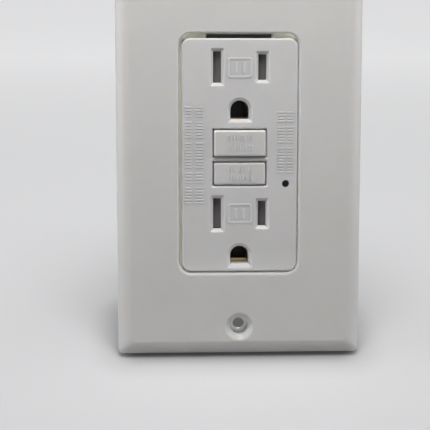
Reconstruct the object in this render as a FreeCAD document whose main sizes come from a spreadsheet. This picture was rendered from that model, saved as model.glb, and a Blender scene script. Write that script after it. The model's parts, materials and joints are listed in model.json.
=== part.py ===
import FreeCAD, Part
import math
import os
import re
import Sketcher

from FreeCAD import Rotation, Vector

# Ground fault circuit interrupter outlet behind its wall plate, in millimetres.
# X runs to the right, Z runs up, and the face looks along -Y. The origin is the middle of the
# device in the plane of the wall, which is the back of the mounting strap and of the plate's rim.
# Depths in front of the wall are named as positive distances, so a face lies at minus its depth.

SIZES = (
    ("cut_margin", 1.0),
    ("plate_width", 69.85),
    ("plate_height", 114.3),
    ("plate_front", 6.0),
    ("plate_rim", 3.6),
    ("plate_wall", 2.0),
    ("plate_draft", 0.35),
    ("plate_lift", 0.3),
    ("bevel_run", 3.8),
    ("crease_round", 2.0),
    ("opening_gap", 0.65),
    ("opening_top_gap", 1.45),
    ("opening_bottom_gap", 0.4),
    ("opening_corner", 3.3),
    ("opening_round", 0.5),
    ("plate_screw_pitch", 96.84),
    ("plate_hole", 4.9),
    ("countersink", 7.9),
    ("plate_boss", 9.4),
    ("strap_thickness", 1.3),
    ("strap_length", 104.8),
    ("strap_ear", 19.0),
    ("strap_ear_corner", 4.0),
    ("strap_waist", 40.0),
    ("strap_shoulder", 4.5),
    ("strap_root", 3.4),
    ("strap_gap", 0.3),
    ("strap_window", 22.0),
    ("window_play", 1.0),
    ("ground_bar", 4.0),
    ("box_screw_pitch", 83.3),
    ("box_slot", 4.0),
    ("box_slot_length", 7.2),
    ("slot_flat", 0.04),
    ("plate_tap", 3.2),
    ("body_width", 42.4),
    ("body_height", 69.4),
    ("body_depth", 26.0),
    ("body_corner", 2.0),
    ("body_wall", 1.6),
    ("flange_thickness", 1.9),
    ("skirt_wall", 1.1),
    ("face_width", 32.7),
    ("flange_top", 1.45),
    ("flange_bottom", 2.35),
    ("face_corner", 2.5),
    ("face_inset", 0.3),
    ("face_wall", 2.0),
    ("face_edge_round", 0.45),
    ("lip_rise", 0.6),
    ("lip_run", 5.0),
    ("notch_width", 19.3),
    ("notch_gap", 0.1),
    ("notch_inset", 0.4),
    ("receptacle_pitch", 41.2),
    ("receptacle_lift", 4.7),
    ("blade_spacing", 12.7),
    ("ground_drop", 11.89),
    ("slot_width", 2.2),
    ("neutral_slot", 8.7),
    ("hot_slot", 7.1),
    ("slot_leadin", 0.9),
    ("ground_hole", 5.2),
    ("ground_play", 0.8),
    ("window_width", 15.1),
    ("window_top", 8.05),
    ("window_bottom", -7.95),
    ("bar_top", 0.1),
    ("bar_height", 1.2),
    ("window_leadin", 0.4),
    ("button_width", 14.6),
    ("button_gap", 0.3),
    ("button_back", 0.5),
    ("button_round", 0.7),
    ("reset_proud", 1.2),
    ("reset_stroke", 2.4),
    ("test_proud", 0.2),
    ("test_stroke", 1.5),
    ("ear_reach", 0.9),
    ("ear_thickness", 1.3),
    ("ear_gap", 0.1),
    ("ear_side_gap", 0.2),
    ("ear_inset", 0.6),
    ("stem_radius", 1.6),
    ("stem_length", 3.0),
    ("leaf_gap", 0.3),
    ("leaf_thickness", 0.35),
    ("leaf_width", 3.0),
    ("leaf_root", 0.5),
    ("leaf_end", 6.0),
    ("foot_width", 0.6),
    ("post_x", 5.0),
    ("post_radius", 0.8),
    ("light_x", 13.0),
    ("light_z", -7.4),
    ("light_hole", 2.0),
    ("light_recess", 0.15),
    ("light_play", 0.3),
    ("lamp_height", 2.4),
    ("lamp_flange", 0.8),
    ("lamp_gap", 0.2),
    ("boss_radius", 2.4),
    ("boss_end", 6.0),
    ("boss_gap", 0.2),
    ("boss_clearance", 0.5),
    ("tap_floor", 1.0),
    ("screw_radius", 1.2),
    ("screw_head", 4.6),
    ("screw_head_depth", 1.4),
    ("screw_play", 0.2),
    ("screw_tip", 1.6),
    ("head_recess", 0.1),
    ("socket_depth", 0.9),
    ("shutter_play", 0.15),
    ("shutter_thickness", 2.0),
    ("shutter_height", 9.6),
    ("shutter_travel", 3.2),
    ("shutter_pocket", 13.2),
    ("shutter_left", 0.75),
    ("shutter_right", 0.65),
    ("shutter_ramp", 0.9),
    ("shutter_step", 0.2),
    ("shutter_edge", 0.1),
    ("ramp_run", 1.0),
    ("shutter_coil", 0.75),
    ("shutter_bore", 0.45),
    ("separator_gap", 0.1),
    ("separator_depth", 12.0),
    ("separator_width", 27.6),
    ("separator_flange", 1.9),
    ("separator_side_gap", 0.3),
    ("separator_step", 3.4),
    ("separator_floor", 1.4),
    ("shelf_gap", 0.05),
    ("blade_play", 0.3),
    ("cavity_reach", 2.5),
    ("hollow_low", 0.55),
    ("hollow_top", 0.35),
    ("contact_wall", 0.6),
    ("contact_mouth", 2.6),
    ("contact_pinch", 5.0),
    ("contact_back", 11.0),
    ("contact_length", 7.2),
    ("contact_play", 1.6),
    ("mouth_play", 0.5),
    ("mouth_half", 1.5),
    ("pinch_half", 0.6),
    ("root_half", 0.9),
    ("link_x", 9.9),
    ("link_wall", 1.2),
    ("link_play", 0.15),
    ("link_overlap", 0.3),
    ("rail_play", 0.4),
    ("rail_step", 1.0),
    ("tail_width", 3.0),
    ("tail_play", 0.7),
    ("tab_width", 3.8),
    ("tab_play", 0.3),
    ("tab_gap", 0.2),
    ("jaw_depth", 9.6),
    ("jaw_play", 1.0),
    ("jaw_root", 2.8),
    ("jaw_grip", 2.0),
    ("jaw_mouth", 2.6),
    ("jaw_wall", 0.6),
    ("jaw_lip", 3.0),
    ("jaw_width", 4.6),
    ("ground_wall", 0.7),
    ("ground_base", 7.4),
    ("ground_margin", 0.6),
    ("bore_width", 5.5),
    ("bore_height", 5.8),
    ("rivet_x", 5.3),
    ("rivet_radius", 1.0),
    ("rivet_head", 1.5),
    ("rivet_top", 0.9),
    ("board_front", 12.4),
    ("board_thickness", 1.4),
    ("board_width", 27.2),
    ("board_top_gap", 1.1),
    ("board_bottom_gap", 0.6),
    ("board_gap", 0.2),
    ("terminal_z", 19.0),
    ("terminal_y", 16.5),
    ("terminal_x", 15.5),
    ("terminal_wall", 1.0),
    ("terminal_size", 9.6),
    ("terminal_low", 5.8),
    ("terminal_high", 5.4),
    ("terminal_recess", 12.0),
    ("terminal_frame", 1.2),
    ("recess_step", 0.8),
    ("plate_play", 0.05),
    ("wall_overlap", 0.5),
    ("column_wall", 0.4),
    ("back_round", 1.0),
    ("shaft_play", 0.3),
    ("lane_width", 4.2),
    ("lead_slot", 2.4),
    ("clamp_thickness", 1.2),
    ("terminal_gap", 0.1),
    ("terminal_screw", 2.0),
    ("terminal_fit", 0.07),
    ("terminal_head", 4.0),
    ("terminal_head_height", 2.2),
    ("terminal_reach", 5.4),
    ("terminal_travel", 2.5),
    ("driver_slot", 1.1),
    ("driver_depth", 1.0),
    ("lead_half", 1.9),
    ("lead_near", 0.9),
    ("lead_gap", 0.1),
    ("lead_wall", 0.8),
    ("lead_low", 0.7),
    ("lead_front", 0.7),
    ("lead_width", 2.4),
    ("wire_hole", 2.8),
    ("wire_pitch", 5.8),
    ("tab_height", 8.0),
    ("tab_depth", 8.6),
    ("tab_drop", 5.5),
    ("tab_screw_y", 4.4),
    ("head_gap", 0.1),
    ("thread_end", 2.2),
    ("washer_wall", 0.8),
    ("hexagon_radius", 3.44),
    ("pin_radius", 1.0),
    ("pin_neck", 0.8),
    ("neck_depth", 0.3),
    ("pin_tip", 1.0),
    ("pin_clearance", 0.3),
    ("spring_radius", 2.5),
    ("spring_wire", 0.5),
    ("spring_play", 0.4),
    ("spring_gap", 0.05),
    ("arm_x", 10.5),
    ("arm_width", 2.6),
    ("arm_thickness", 0.6),
    ("arm_front", 17.0),
    ("arm_root", -11.4),
    ("arm_tip", 8.6),
    ("root_height", 0.6),
    ("arm_gap", 0.1),
    ("tip_z", 7.0),
    ("tip_radius", 1.4),
    ("tip_height", 0.8),
    ("contact_gap", 1.2),
    ("carrier_gap", 0.15),
    ("carrier_depth", 4.0),
    ("carrier_width", 18.0),
    ("carrier_height", 8.0),
    ("wing_drop", 1.0),
    ("guide_x", 6.4),
    ("guide_radius", 1.2),
    ("guide_fit", 0.08),
    ("stop_wall", 0.8),
    ("post_gap", 0.6),
    ("latch_wall", 0.6),
    ("latch_travel", 1.6),
    ("latch_depth", 1.7),
    ("latch_width", 6.0),
    ("latch_play", 0.2),
    ("lip_width", 3.0),
    ("lip_height", 0.5),
    ("lip_reach", 1.6),
    ("coil_y", 19.1),
    ("coil_radius", 4.5),
    ("coil_bottom", 12.4),
    ("coil_headroom", 7.3),
    ("bobbin_wall", 0.6),
    ("flange_wall", 0.8),
    ("bobbin_lip", 0.3),
    ("plunger_radius", 1.6),
    ("plunger_fit", 0.08),
    ("plunger_gap", 1.0),
    ("plunger_reach", 3.0),
    ("plunger_cap", 0.8),
    ("cap_lip", 1.0),
    ("plunger_coil", 0.9),
    ("plunger_bore", 0.3),
    ("yoke_wall", 1.0),
    ("core_z", -20.2),
    ("core_radius", 7.2),
    ("core_bore", 3.3),
    ("core_height", 3.5),
    ("core_gap", 0.6),
    ("core_start", 1.8),
    ("boat_wall", 0.8),
    ("varistor_x", 8.8),
    ("varistor_drop", 3.6),
    ("varistor_radius", 3.5),
    ("varistor_gap", 0.4),
    ("varistor_depth", 2.8),
    ("foot_height", 1.0),
    ("varistor_foot", 0.8),
    ("capacitor_x", 8.8),
    ("capacitor_width", 6.4),
    ("capacitor_depth", 6.0),
    ("capacitor_length", 5.0),
    ("capacitor_drop", 0.4),
    ("chip_x", 4.0),
    ("chip_z", 6.4),
    ("chip_width", 5.2),
    ("chip_length", 4.0),
    ("chip_depth", 1.6),
    ("thyristor_x", 4.4),
    ("thyristor_z", 6.6),
    ("thyristor_radius", 2.3),
    ("thyristor_depth", 4.6),
    ("thyristor_flat", 1.6),
    ("resistor_x", 9.0),
    ("resistor_lift", 2.2),
    ("resistor_length", 6.0),
    ("resistor_radius", 1.2),
    ("resistor_depth", 1.5),
    ("resistor_foot", 0.6),
    ("foot_spread", 2.4),
)

VALUE = dict(SIZES)

doc = FreeCAD.newDocument("Outlet")
sheet = doc.addObject("Spreadsheet::Sheet", "Sizes")
for row, (alias, value) in enumerate(SIZES, start=1):
    sheet.set("A%d" % row, alias)
    sheet.set("B%d" % row, str(value))
    sheet.setAlias("B%d" % row, alias)
doc.recompute()

# Expressions that several pieces share. Each word is a size of the sheet.
STRAP_FRONT = "strap_thickness"
FLANGE_FRONT = "(strap_thickness + flange_thickness)"
FACE_FRONT = "(plate_front - face_inset)"
FACE_BACK = "(plate_front - face_inset - face_wall)"
PLATE_INSIDE = "(plate_front - plate_wall)"
LIP_FRONT = "(plate_front - face_inset + lip_rise)"
FACE_TOP = "(body_height / 2 - flange_top)"
FACE_BOTTOM = "(flange_bottom - body_height / 2)"
OPENING_TOP = "(body_height / 2 - flange_top + opening_top_gap)"
OPENING_BOTTOM = "(flange_bottom - opening_bottom_gap - body_height / 2)"
UPPER_SLOTS = "(receptacle_lift + receptacle_pitch / 2)"
LOWER_SLOTS = "(receptacle_lift - receptacle_pitch / 2)"
RESET_TOP = "(window_top - button_gap)"
RESET_BOTTOM = "(bar_top + button_gap)"
TEST_TOP = "(bar_top - bar_height - button_gap)"
TEST_BOTTOM = "(window_bottom + button_gap)"
RESET_Z = "((window_top + bar_top) / 2)"
TEST_Z = "((bar_top - bar_height + window_bottom) / 2)"
BOARD_BACK = "(board_front + board_thickness)"
BOARD_TOP = "(body_height / 2 - body_wall - board_top_gap)"
BOARD_BOTTOM = "(board_bottom_gap + body_wall - body_height / 2)"
INSIDE_BACK = "(body_depth - body_wall)"
BOSS_X = "(body_width / 2 - body_wall - boss_radius - boss_gap)"
BOSS_Z = "(body_height / 2 - body_wall - boss_radius - boss_gap)"
ARM_BACK = "(arm_front + arm_thickness)"
CARRIER_FRONT = "(arm_front - tip_height)"
LATCH_Y = "(arm_front - tip_height + carrier_depth - latch_depth)"
TAB_Z = "(-body_height / 2 - tab_drop)"
RECEPTACLES = (("upper", UPPER_SLOTS), ("lower", LOWER_SLOTS))
SIDES = (("hot", 1), ("neutral", -1))

# How near an edge has to lie to the place where it is looked for.
NEAR = 0.01
PLACES = {"x": Vector(1, 0, 0), "y": Vector(0, 1, 0), "z": Vector(0, 0, 1)}
nodes = []


def word(expression):
    """Write an expression of size names as one that reads them from the sheet."""
    def cell(match):
        name = match.group(0)
        return "Sizes." + name if name in VALUE else name
    return re.sub(r"[a-z][a-z_]*", cell, str(expression))


def bind(target, field, expression):
    target.setExpression(field, word(expression))


def flip(side, low, high):
    """A span along X, mirrored to the left when side is -1."""
    if side > 0:
        return low, high
    return "-(%s)" % high, "-(%s)" % low


def centred(middle, width):
    return "%s - (%s) / 2" % (middle, width), "%s + (%s) / 2" % (middle, width)


def node(piece, name):
    """Name a finished piece; its label is also its file."""
    piece.Label = name
    nodes.append(piece)
    return piece


# Primitives and booleans

def box(x, y, z):
    piece = doc.addObject("Part::Box", "Block")
    for size, place, (low, high) in zip(("Length", "Width", "Height"), "xyz", (x, y, z)):
        bind(piece, size, "(%s) - (%s)" % (high, low))
        bind(piece, "Placement.Base." + place, low)
    return piece


def turned(axis):
    """The turn that lays a solid of revolution, made along Z, onto an axis."""
    if axis == "x":
        return Rotation(PLACES["y"], 90)
    if axis == "y":
        return Rotation(PLACES["x"], -90)
    return Rotation()


def set_on(piece, axis, across, low):
    """Place a round solid: across holds its two other coordinates, in X, Y, Z order."""
    piece.Placement = FreeCAD.Placement(Vector(), turned(axis))
    others = [name for name in "xyz" if name != axis]
    for name, expression in zip(others, across):
        bind(piece, "Placement.Base." + name, expression)
    bind(piece, "Placement.Base." + axis, low)
    return piece


def rod(axis, across, span, radius):
    low, high = span
    piece = doc.addObject("Part::Cylinder", "Rod")
    bind(piece, "Radius", radius)
    bind(piece, "Height", "(%s) - (%s)" % (high, low))
    return set_on(piece, axis, across, low)


def cone(axis, across, span, first, last):
    low, high = span
    piece = doc.addObject("Part::Cone", "Taper")
    bind(piece, "Radius1", first)
    bind(piece, "Radius2", last)
    bind(piece, "Height", "(%s) - (%s)" % (high, low))
    return set_on(piece, axis, across, low)


def fuse(*pieces):
    if len(pieces) == 1:
        return pieces[0]
    whole = doc.addObject("Part::MultiFuse", "Joined")
    whole.Shapes = list(pieces)
    whole.Refine = True
    return whole


def cut(base, *tools):
    rest = doc.addObject("Part::Cut", "Trimmed")
    rest.Base = base
    rest.Tool = fuse(*tools)
    rest.Refine = True
    return rest


def ring(axis, across, span, radius, bore):
    return cut(rod(axis, across, span, radius), rod(axis, across, span, bore))


def group(*pieces):
    """Separate like solids that share one node."""
    whole = doc.addObject("Part::Compound", "Set")
    whole.Links = list(pieces)
    return whole


# Sketches and features

def new_body(name):
    return node(doc.addObject("PartDesign::Body", name), name)


def sketch(body, plane, offset="0"):
    """An empty sketch on one of the body's own planes, moved along its normal."""
    drawing = body.newObject("Sketcher::SketchObject", "Sketch")
    roles = {feature.Role: feature for feature in body.Origin.OriginFeatures}
    drawing.AttachmentSupport = [(roles[plane + "_Plane"], "")]
    drawing.MapMode = "FlatFace"
    bind(drawing, "AttachmentOffset.Base.z", offset)
    return drawing


def dimension(drawing, kind, where, expression):
    """Fix one coordinate of a sketch point, measured from the sketch's origin."""
    line, end = where
    number = drawing.addConstraint(Sketcher.Constraint(kind, -1, 1, line, end, 1.0))
    bind(drawing, "Constraints[%d]" % number, expression)


def polygon(drawing, corners):
    """A closed outline through corners, each a pair of expressions."""
    start = drawing.GeometryCount
    count = len(corners)
    guess = [Vector(*start_point(index, count)) for index in range(count)]
    for index in range(count):
        line = Part.LineSegment(guess[index], guess[(index + 1) % count])
        drawing.addGeometry(line)
    for index in range(count):
        after = start + (index + 1) % count
        drawing.addConstraint(Sketcher.Constraint("Coincident", start + index, 2, after, 1))
    for index, (across, up) in enumerate(corners):
        dimension(drawing, "DistanceX", (start + index, 1), across)
        dimension(drawing, "DistanceY", (start + index, 1), up)


def start_point(index, count):
    """Corners of a regular polygon, where an outline's corners wait for their sizes."""
    turn = 2 * math.pi * index / count
    return 10 * math.cos(turn), 10 * math.sin(turn), 0


def rectangle(drawing, across, up):
    (left, right), (low, high) = across, up
    polygon(drawing, [(left, low), (right, low), (right, high), (left, high)])


def circle(drawing, across, up, radius):
    number = drawing.addGeometry(Part.Circle(Vector(), Vector(0, 0, 1), 1.0))
    dimension(drawing, "DistanceX", (number, 3), across)
    dimension(drawing, "DistanceY", (number, 3), up)
    size = drawing.addConstraint(Sketcher.Constraint("Radius", number, 1.0))
    bind(drawing, "Constraints[%d]" % size, radius)


def feature(body, kind, drawing, length=None, through=False, midplane=False, backward=False):
    """A pad or pocket along the sketch's normal, or against it when backward."""
    made = body.newObject("PartDesign::" + kind, kind)
    made.Profile = drawing
    made.Reversed = backward != (kind == "Pocket")
    if through:
        made.Type = "ThroughAll"
    if length is not None:
        bind(made, "Length", length)
    if midplane:
        made.Midplane = True
    return made


def pad(body, drawing, length, **options):
    return feature(body, "Pad", drawing, length, **options)


def pocket(body, drawing, length, **options):
    return feature(body, "Pocket", drawing, length, **options)


def loft(body, kind, first, second):
    made = body.newObject("PartDesign::" + kind, kind)
    made.Profile = first
    made.Sections = [second]
    made.Ruled = True
    return made


def edges_where(shape, wanted):
    return ["Edge%d" % number for number, edge in enumerate(shape.Edges, start=1) if wanted(edge)]


def runs_along(edge, axis):
    """True for a straight edge that lies along an axis, or within a few degrees of it."""
    if edge.Curve.TypeId != "Part::GeomLine":
        return False
    return abs(edge.tangentAt(edge.FirstParameter).dot(PLACES[axis])) > 0.96


def dress(body, kind, wanted, size):
    """Round or chamfer the edges of the body's last feature that are wanted."""
    doc.recompute()
    base = body.Tip
    made = body.newObject("PartDesign::" + kind, kind)
    made.Base = (base, edges_where(base.Shape, wanted))
    bind(made, "Radius" if kind == "Fillet" else "Size", size)
    return made


def at_depth(edge, y):
    box_of = edge.BoundBox
    return abs(box_of.YMin - y) < NEAR and abs(box_of.YMax - y) < NEAR


# Wall plate

def plate_outline(drawing, inset):
    width = "plate_width / 2 - (%s)" % inset
    height = "(plate_height / 2 - (%s))" % inset
    rectangle(drawing, ("-(%s)" % width, width),
              ("plate_lift - %s" % height, "plate_lift + %s" % height))


def outer_level(body, depth, inset):
    drawing = sketch(body, "XZ", depth)
    plate_outline(drawing, inset)
    return drawing


def make_wall_plate():
    """Moulded decorator plate: drafted rim, broad bevel, rounded opening, two countersinks."""
    body = new_body("wall_plate")
    front_inset = "plate_draft + bevel_run"
    loft(body, "AdditiveLoft", outer_level(body, "0", "0"),
         outer_level(body, "plate_rim", "plate_draft"))
    loft(body, "AdditiveLoft", outer_level(body, "plate_rim", "plate_draft"),
         outer_level(body, "plate_front", front_inset))
    dress(body, "Fillet", lambda edge: at_depth(edge, -VALUE["plate_front"]), "crease_round")

    hollow = outer_level(body, "0", "plate_wall")
    pocket(body, hollow, "plate_rim - plate_wall / 2")
    loft(body, "SubtractiveLoft", outer_level(body, "plate_rim - plate_wall / 2", "plate_wall"),
         outer_level(body, PLATE_INSIDE, "plate_wall + bevel_run"))

    opening = sketch(body, "XZ")
    rectangle(opening, centred("0", "face_width + 2 * opening_gap"), (OPENING_BOTTOM, OPENING_TOP))
    pocket(body, opening, None, through=True, midplane=True)
    reach = VALUE["face_width"] / 2 + VALUE["opening_gap"]
    dress(body, "Fillet", lambda edge: runs_along(edge, "y")
          and abs(abs(edge.CenterOfMass.x) - reach) < NEAR, "opening_corner")
    dress(body, "Fillet", lambda edge: at_depth(edge, -VALUE["plate_front"])
          and abs(edge.CenterOfMass.x) < reach + NEAR
          and abs(edge.CenterOfMass.z) < VALUE["plate_screw_pitch"] / 2, "opening_round")

    bosses = sketch(body, "XZ", "strap_thickness")
    holes = sketch(body, "XZ")
    for end in ("-", ""):
        circle(bosses, "0", end + "plate_screw_pitch / 2", "plate_boss / 2")
        circle(holes, "0", end + "plate_screw_pitch / 2", "plate_hole / 2")
    pad(body, bosses, "plate_front - plate_wall / 2 - strap_thickness")
    pocket(body, holes, None, through=True, midplane=True)
    pitch = VALUE["plate_screw_pitch"] / 2
    dress(body, "Chamfer", lambda edge: at_depth(edge, -VALUE["plate_front"])
          and edge.Curve.TypeId == "Part::GeomCircle"
          and abs(abs(edge.CenterOfMass.z) - pitch) < NEAR, "(countersink - plate_hole) / 2")


# Front cover

def blade_slot(drawing, middle, side, length):
    across = flip(side, *centred("blade_spacing / 2", "slot_width"))
    rectangle(drawing, across, centred(middle, length))


def ground_hole(rounds, squares, middle):
    """A pin hole, round above and square below: a circle, and a rectangle under its middle."""
    up = "(%s - ground_drop)" % middle
    circle(rounds, "0", up, "ground_hole / 2")
    rectangle(squares, centred("0", "ground_hole"), (up + " - ground_hole / 2", up))


def make_front_cover():
    """Face of the device: flange under the plate, raised block, slots, window and lower lip."""
    body = new_body("front_cover")
    flange = sketch(body, "XZ", STRAP_FRONT)
    rectangle(flange, centred("0", "body_width"), centred("0", "body_height"))
    pad(body, flange, "flange_thickness")
    dress(body, "Fillet", lambda edge: runs_along(edge, "y"), "body_corner")

    block = sketch(body, "XZ", FLANGE_FRONT)
    rectangle(block, centred("0", "face_width"), (FACE_BOTTOM, FACE_TOP))
    pad(body, block, "%s - %s" % (LIP_FRONT, FLANGE_FRONT))
    lip_top = "(%s + lip_run)" % FACE_BOTTOM
    flat = sketch(body, "YZ")
    rectangle(flat, ("-2 * plate_front", "-" + FACE_FRONT), (lip_top, "body_height"))
    pocket(body, flat, "body_width * 2", midplane=True)
    swept = "((lip_rise ^ 2 + lip_run ^ 2) / (2 * lip_rise))"
    hollow = sketch(body, "YZ")
    circle(hollow, "-%s - %s" % (FACE_FRONT, swept), lip_top, swept)
    pocket(body, hollow, "body_width * 2", midplane=True)

    half = VALUE["face_width"] / 2
    dress(body, "Fillet", lambda edge: runs_along(edge, "y")
          and abs(abs(edge.CenterOfMass.x) - half) < NEAR, "face_corner")
    behind_plate = VALUE["plate_wall"] - VALUE["plate_front"]
    top = VALUE["body_height"] / 2 - VALUE["flange_top"]
    bottom = VALUE["flange_bottom"] - VALUE["body_height"] / 2
    border = VALUE["face_corner"]
    dress(body, "Fillet", lambda edge: edge.BoundBox.YMax < behind_plate
          and (abs(edge.CenterOfMass.x) > half - border or edge.CenterOfMass.z > top - border
               or edge.CenterOfMass.z < bottom + border), "face_edge_round")

    slots = sketch(body, "XZ")
    rounds = sketch(body, "XZ")
    squares = sketch(body, "XZ")
    for name, middle in RECEPTACLES:
        blade_slot(slots, middle, 1, "hot_slot")
        blade_slot(slots, middle, -1, "neutral_slot")
        ground_hole(rounds, squares, middle)
    pocket(body, slots, None, through=True, midplane=True)
    pocket(body, rounds, None, through=True, midplane=True)
    pocket(body, squares, None, through=True, midplane=True)
    window = sketch(body, "XZ")
    rectangle(window, centred("0", "window_width"), ("bar_top", "window_top"))
    rectangle(window, centred("0", "window_width"), ("window_bottom", "bar_top - bar_height"))
    pocket(body, window, None, through=True, midplane=True)

    front = -(VALUE["plate_front"] - VALUE["face_inset"])
    slot_reach = (VALUE["blade_spacing"] + VALUE["slot_width"]) / 2 + NEAR
    slot_inner = VALUE["window_top"] + VALUE["window_leadin"]
    rim = 2 * VALUE["face_edge_round"]

    def slot_mouth(edge):
        """Edges of the five-sided holes on the face, the lowest of which reaches the lip's rise."""
        middle = edge.CenterOfMass
        near = abs(middle.z) > slot_inner and abs(middle.x) < slot_reach
        in_block = bottom + rim < middle.z < top - rim
        return edge.BoundBox.YMax < front + NEAR and near and in_block

    dress(body, "Chamfer", slot_mouth, "slot_leadin")
    dress(body, "Chamfer", lambda edge: at_depth(edge, front)
          and abs(edge.CenterOfMass.x) < VALUE["window_width"] / 2 + NEAR
          and abs(edge.CenterOfMass.z) < VALUE["window_top"] + NEAR, "window_leadin")

    notches = sketch(body, "XZ")
    rectangle(notches, centred("0", "notch_width"), (FACE_TOP + " + notch_gap", "body_height"))
    rectangle(notches, centred("0", "notch_width"), ("-body_height", FACE_BOTTOM + " - notch_gap"))
    pocket(body, notches, None, through=True, midplane=True)

    ears = sketch(body, "XZ", STRAP_FRONT)
    rectangle(ears, centred("0", "window_width + 2 * ear_reach"),
              (TEST_BOTTOM + " - ear_gap", RESET_TOP + " + ear_gap"))
    pocket(body, ears, "button_back - strap_thickness + ear_thickness + ear_gap")
    pockets = sketch(body, "XZ", STRAP_FRONT)
    for name, middle in RECEPTACLES:
        rectangle(pockets, centred("0", "shutter_pocket * 2"),
                  centred(middle, "shutter_height + 2 * shutter_play"))
    pocket(body, pockets, "%s - strap_thickness" % FACE_BACK)
    light = sketch(body, "XZ")
    circle(light, "light_x", "light_z", "light_hole / 2")
    pocket(body, light, None, through=True, midplane=True)

    skirt = sketch(body, "XZ")
    rectangle(skirt, centred("0", "body_width"), centred("0", "body_height"))
    rectangle(skirt, centred("0", "body_width - 2 * skirt_wall"),
              centred("0", "body_height - 2 * skirt_wall"))
    pad(body, skirt, "strap_thickness")
    bosses = sketch(body, "XZ", STRAP_FRONT)
    taps = sketch(body, "XZ", "-boss_end")
    for across in ("-" + BOSS_X, BOSS_X):
        for up in ("-" + BOSS_Z, BOSS_Z):
            circle(bosses, across, up, "boss_radius")
            circle(taps, across, up, "screw_radius")
    pad(body, bosses, "strap_thickness + boss_end", backward=True)
    pocket(body, taps, "boss_end - tap_floor")
    passage = sketch(body, "XZ", "-cut_margin")
    wide = centred("0", "strap_ear + 2 * (strap_shoulder + strap_gap)")
    rectangle(passage, wide, ("body_height / 2 - skirt_wall - cut_margin", "body_height"))
    rectangle(passage, wide, ("-body_height", "skirt_wall + cut_margin - body_height / 2"))
    pocket(body, passage, "strap_thickness + cut_margin")


# Mounting strap

def make_mounting_strap():
    """Plated steel strap: two ears, two windows, ground bars, slots, and the ground screw's tab."""
    body = new_body("mounting_strap")
    outline = sketch(body, "XZ")
    shoulder = "(strap_ear / 2 + strap_shoulder)"
    corner = "(%s - boss_radius - boss_clearance)" % BOSS_Z
    root = "(body_height / 2 + strap_root)"
    ear = "(strap_ear / 2)"
    waist = "(strap_waist / 2)"
    tip = "(strap_length / 2)"
    quarter = [(waist, corner), (shoulder, corner), (shoulder, root), (ear, root), (ear, tip)]
    right_up = quarter
    left_up = [("-" + x, z) for x, z in reversed(quarter)]
    left_down = [("-" + x, "-" + z) for x, z in quarter]
    right_down = [(x, "-" + z) for x, z in reversed(quarter)]
    polygon(outline, right_up + left_up + left_down + right_down)
    pad(body, outline, "strap_thickness")
    tip_z = VALUE["strap_length"] / 2
    dress(body, "Fillet", lambda edge: runs_along(edge, "y")
          and abs(abs(edge.CenterOfMass.z) - tip_z) < NEAR, "strap_ear_corner")

    windows = sketch(body, "XZ")
    wide = centred("0", "strap_window")
    rectangle(windows, wide, centred(UPPER_SLOTS, "shutter_height + 2 * window_play"))
    rectangle(windows, wide, ("%s - shutter_height / 2 - window_play" % LOWER_SLOTS,
                              "%s - ground_drop - ground_bar" % UPPER_SLOTS))
    dark = centred("0", "notch_width - 2 * notch_inset")
    rectangle(windows, dark, (FACE_TOP + " - notch_inset", "body_height / 2"))
    rectangle(windows, dark, ("-body_height / 2", FACE_BOTTOM + " + notch_inset"))
    pocket(body, windows, None, through=True, midplane=True)

    holes = sketch(body, "XZ")
    for name, middle in RECEPTACLES:
        up = "(%s - ground_drop)" % middle
        circle(holes, "0", up, "ground_hole / 2 + ground_play")
        for side in ("-rivet_x", "rivet_x"):
            circle(holes, side, up, "rivet_radius")
    for end in ("-", ""):
        circle(holes, "0", end + "plate_screw_pitch / 2", "plate_tap / 2")
    circle(holes, "light_x", "light_z", "light_hole / 2 + light_play")
    pocket(body, holes, None, through=True, midplane=True)
    slots = sketch(body, "XZ")
    for end in ("-", ""):
        rectangle(slots, centred("0", "box_slot_length"),
                  centred(end + "box_screw_pitch / 2", "box_slot"))
    pocket(body, slots, None, through=True, midplane=True)
    slot_end = VALUE["box_slot_length"] / 2
    pitch = VALUE["box_screw_pitch"] / 2
    dress(body, "Fillet", lambda edge: runs_along(edge, "y")
          and abs(abs(edge.CenterOfMass.x) - slot_end) < NEAR
          and abs(abs(edge.CenterOfMass.z) - pitch) < VALUE["box_slot"], "(box_slot - slot_flat) / 2")

    tab = sketch(body, "XZ", "-tab_depth")
    rectangle(tab, ("-strap_ear / 2", "strap_thickness - strap_ear / 2"),
              centred(TAB_Z, "tab_height"))
    pad(body, tab, "tab_depth + strap_thickness / 2")
    tap = sketch(body, "YZ", "-strap_ear / 2 - cut_margin")
    circle(tap, "tab_screw_y", TAB_Z, "terminal_screw + terminal_fit")
    pocket(body, tap, "strap_thickness + 2 * cut_margin")


# Middle separator

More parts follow.
